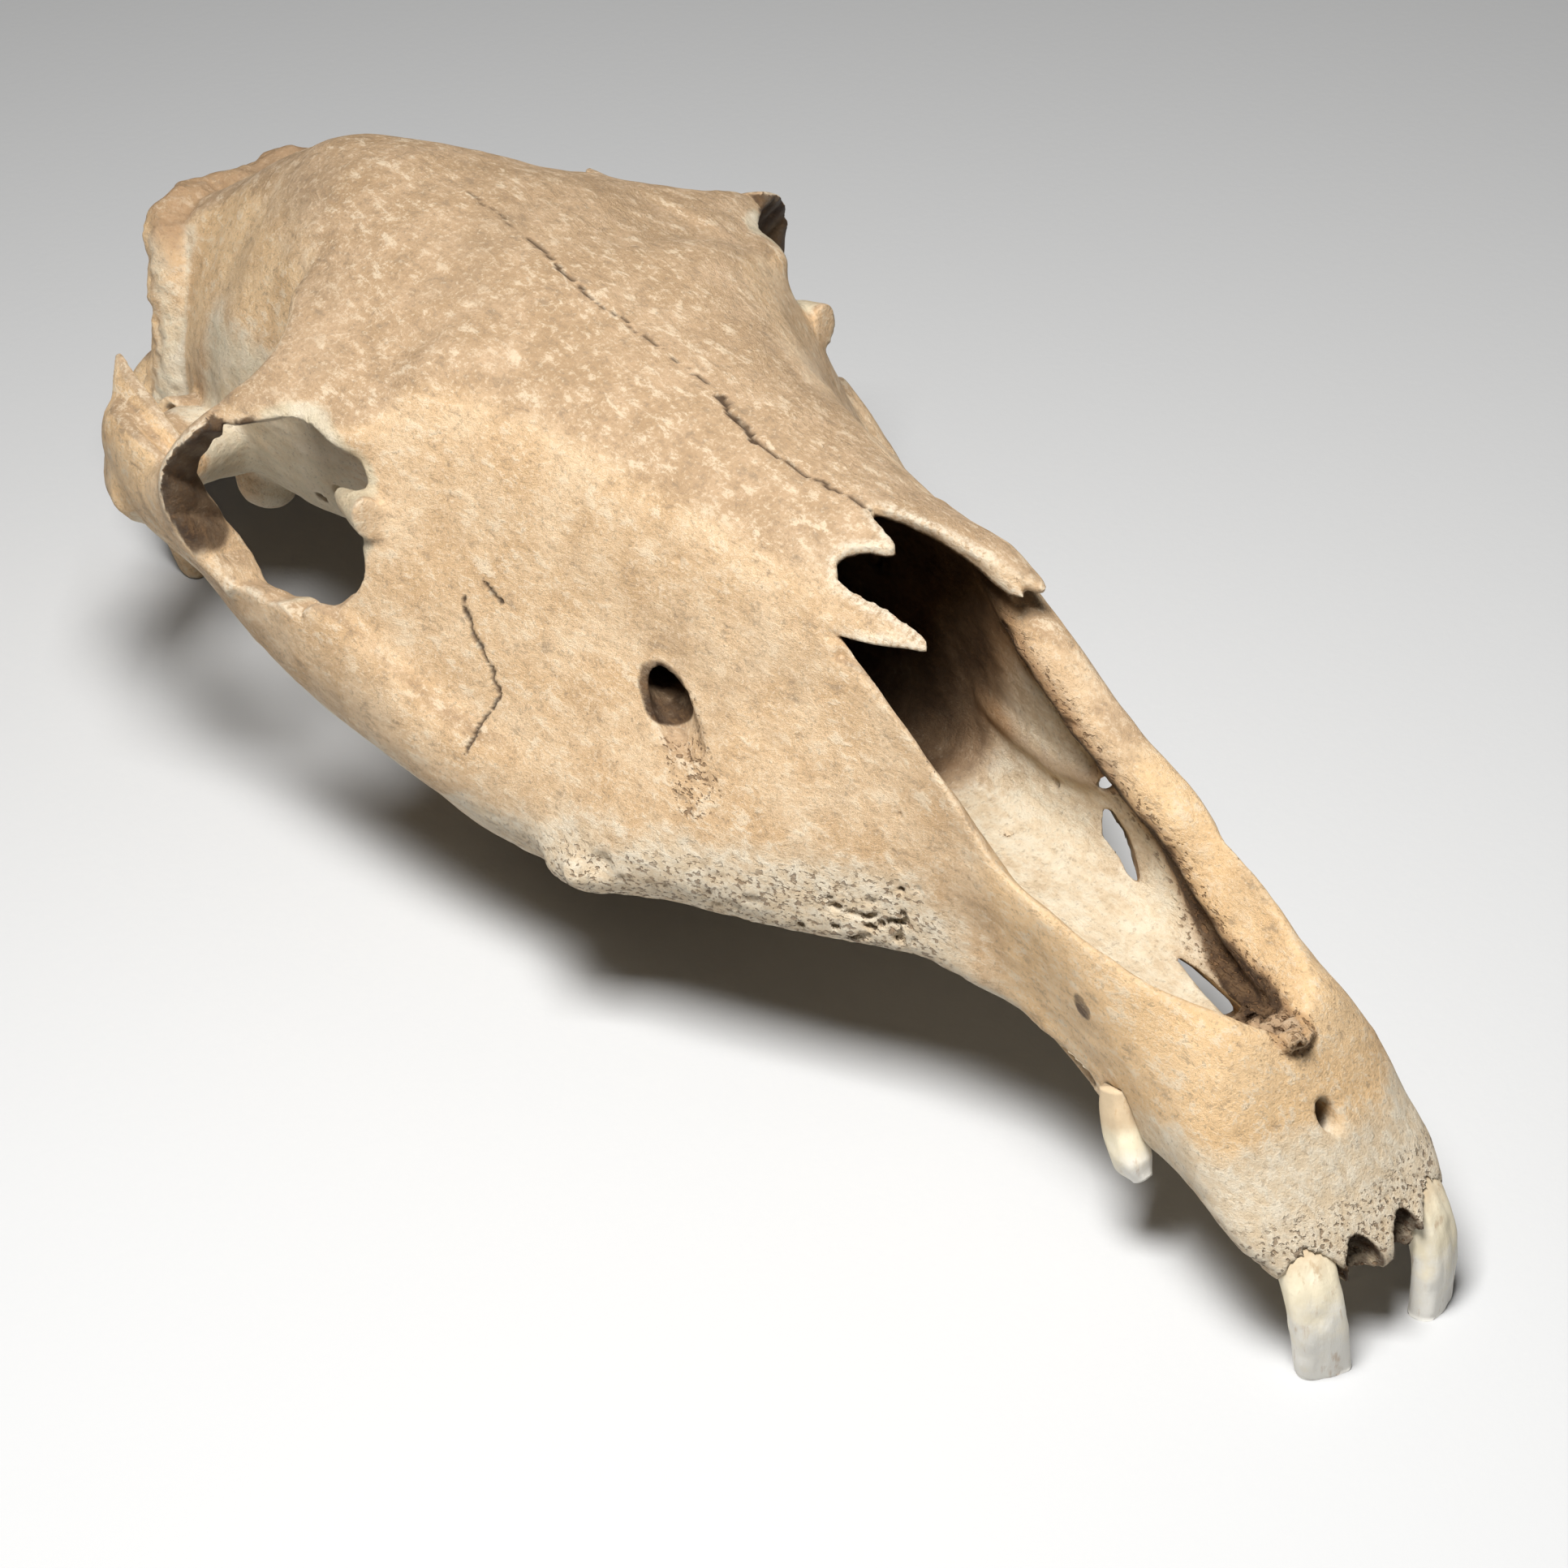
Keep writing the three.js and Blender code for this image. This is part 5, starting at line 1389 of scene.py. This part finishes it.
def tooth_outline(angle, grooves):
    """The radius at each angle of a squarish section with grooves, each an angle and a depth."""
    dip = 0
    for at, depth in grooves:
        away = (angle - at + np.pi) % (2 * np.pi) - np.pi
        dip = dip + depth * np.exp(-((away / TOOTH_GROOVE_WIDTH) ** 2))
    power = TOOTH_SQUARENESS
    return (np.abs(np.cos(angle)) ** power + np.abs(np.sin(angle)) ** power) ** (-1 / power) * (1 - dip)


def worn_table(wear):
    """Rings that close the tip: share of its width, place along the tooth, and crown, table and cup."""
    return [
        (0.93, 0.5, (1, 0, 0)), (0.85, 0.3, (1, 0.8, 0)), (0.6, -0.2, (1, 1, 0)),
        (0.42, 0.15, (1, 0, 0)), (0.32, -wear, (1, 0.5, 0.7)), (0.12, -2 * wear, (1, 1, 1)),
    ]


def tooth(path, widths, thicknesses, across, grooves, wear):
    """A tooth from root to tip: rings with lengthwise grooves, closed by a worn table with a cup."""
    centres, tangents, side, face = swept(path, widths, thicknesses, across, TOOTH_STEPS)
    angle = round_angles(TOOTH_CORNERS)
    outline = tooth_outline(angle, grooves)
    last = len(centres) - 1
    stations = [(i, 1.0, 0.0, (i / last, 0, 0)) for i in range(last + 1)]
    stations += [(last, *ring) for ring in worn_table(wear)]
    rings, values = [], []
    for i, share, sink, ring_values in stations:
        centre = centres[i] + tangents[i] * sink
        x, y = np.cos(angle) * outline * share, np.sin(angle) * outline * share
        rings.append(centre + side[i] * x[:, None] + face[i] * y[:, None])
        values += [ring_values] * TOOTH_CORNERS
    values += [(0, 0, 0), (1, 1, 1)]
    points, triangles = loft(rings)
    return points, triangles, dict(zip(("crown", "table", "cup"), np.array(values, float).T))


def tooth_piece(name, shape, material, sign):
    """One tooth, on the left as it is or mirrored to the right."""
    points, triangles, values = shape
    points = points * (sign, 1, 1)
    lumps = noise(points, 3.5, 20) * 0.22 + noise(points * (1, 1, 0.3), 1.6, 21) * 0.12
    outward = (points - points.mean(0)) * (1, 1, 0.2)
    outward /= np.maximum(np.linalg.norm(outward, axis=1), 1e-6)[:, None]
    places = rested(points + outward * lumps[:, None])
    places[:, 2] = np.maximum(places[:, 2], 0)
    piece = blender_mesh("tooth_" + name, places, triangles[:, ::sign], values=values)
    piece.data.materials.append(material)
    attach(piece, "root")
    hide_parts(name)


def teeth(material):
    incisor = tooth(
        INCISOR_PATH, INCISOR_WIDTHS, INCISOR_THICKNESSES, INCISOR_ACROSS, INCISOR_GROOVES, INCISOR_WEAR
    )
    canine = tooth(CANINE_PATH, CANINE_WIDTHS, CANINE_THICKNESSES, (0, 1, 0), CANINE_GROOVES, CANINE_WEAR)
    for side, sign in (("left", 1), ("right", -1)):
        tooth_piece("incisor_" + side, incisor, material, sign)
        tooth_piece("canine_" + side, canine, material, sign)


# ---------------------------------------------------------------- stage, light and camera
FLOOR_HALF = 8.0
LAMP_PLACE, LAMP_TARGET = (-0.29, -0.28, 1.06), (-0.08, -0.08, 0.0)
LAMP_SIZE, LAMP_POWER = 0.42, 21.5
WORLD_COLOUR, WORLD_STRENGTH = (1, 0.99, 0.97, 1), 0.04


def floor(material):
    corners = [(x * FLOOR_HALF, y * FLOOR_HALF, 0) for x, y in ((-1, -1), (1, -1), (1, 1), (-1, 1))]
    piece = blender_mesh("floor", np.array(corners), np.array([[0, 1, 2, 3]]))
    piece.data.materials.append(material)


def softbox():
    light = bpy.data.lights.new("overhead", "AREA")
    light.shape = "SQUARE"
    light.size = LAMP_SIZE
    light.energy = LAMP_POWER
    lamp = bpy.data.objects.new("overhead", light)
    bpy.context.scene.collection.objects.link(lamp)
    lamp.location = LAMP_PLACE
    direction = Vector(LAMP_TARGET) - Vector(LAMP_PLACE)
    lamp.rotation_euler = direction.to_track_quat("-Z", "Y").to_euler()


def lights():
    softbox()
    world = bpy.data.worlds.new("studio")
    world.use_nodes = True
    background = world.node_tree.nodes["Background"]
    background.inputs["Color"].default_value = WORLD_COLOUR
    background.inputs["Strength"].default_value = WORLD_STRENGTH
    bpy.context.scene.world = world
    bpy.context.scene.view_settings.view_transform = "Standard"


CAMERA_AZIMUTH = math.radians(-32.7)
CAMERA_ELEVATION = math.radians(29.4)
CAMERA_ROLL = math.radians(-8.2)
CAMERA_DISTANCE = 1266.3
CAMERA_TARGET = np.array([0, 231.0, 41.0])
LENS, SENSOR = 108.14, 36.0


def camera():
    """The camera, placed in the skull frame by its direction from the target, then laid at rest."""
    back = np.array([
        math.sin(CAMERA_AZIMUTH) * math.cos(CAMERA_ELEVATION),
        -math.cos(CAMERA_AZIMUTH) * math.cos(CAMERA_ELEVATION),
        math.sin(CAMERA_ELEVATION),
    ])
    level = np.cross((0, 0, 1), back)
    level /= np.linalg.norm(level)
    upright = np.cross(back, level)
    right = math.cos(CAMERA_ROLL) * level + math.sin(CAMERA_ROLL) * upright
    up = math.cos(CAMERA_ROLL) * upright - math.sin(CAMERA_ROLL) * level
    axes = turned([right, up, back])
    place = rested([CAMERA_TARGET + CAMERA_DISTANCE * back])[0]
    data = bpy.data.cameras.new("camera")
    data.sensor_width = SENSOR
    data.lens = LENS
    eye = bpy.data.objects.new("camera", data)
    eye.matrix_world = Matrix([
        [axes[0][row], axes[1][row], axes[2][row], place[row]] for row in range(3)
    ] + [[0, 0, 0, 1]])
    bpy.context.scene.collection.objects.link(eye)
    bpy.context.scene.camera = eye


# ---------------------------------------------------------------- the whole scene
bone_pieces(bone_mesh(), bone_material())
teeth(tooth_material())
floor(floor_material())
lights()
camera()
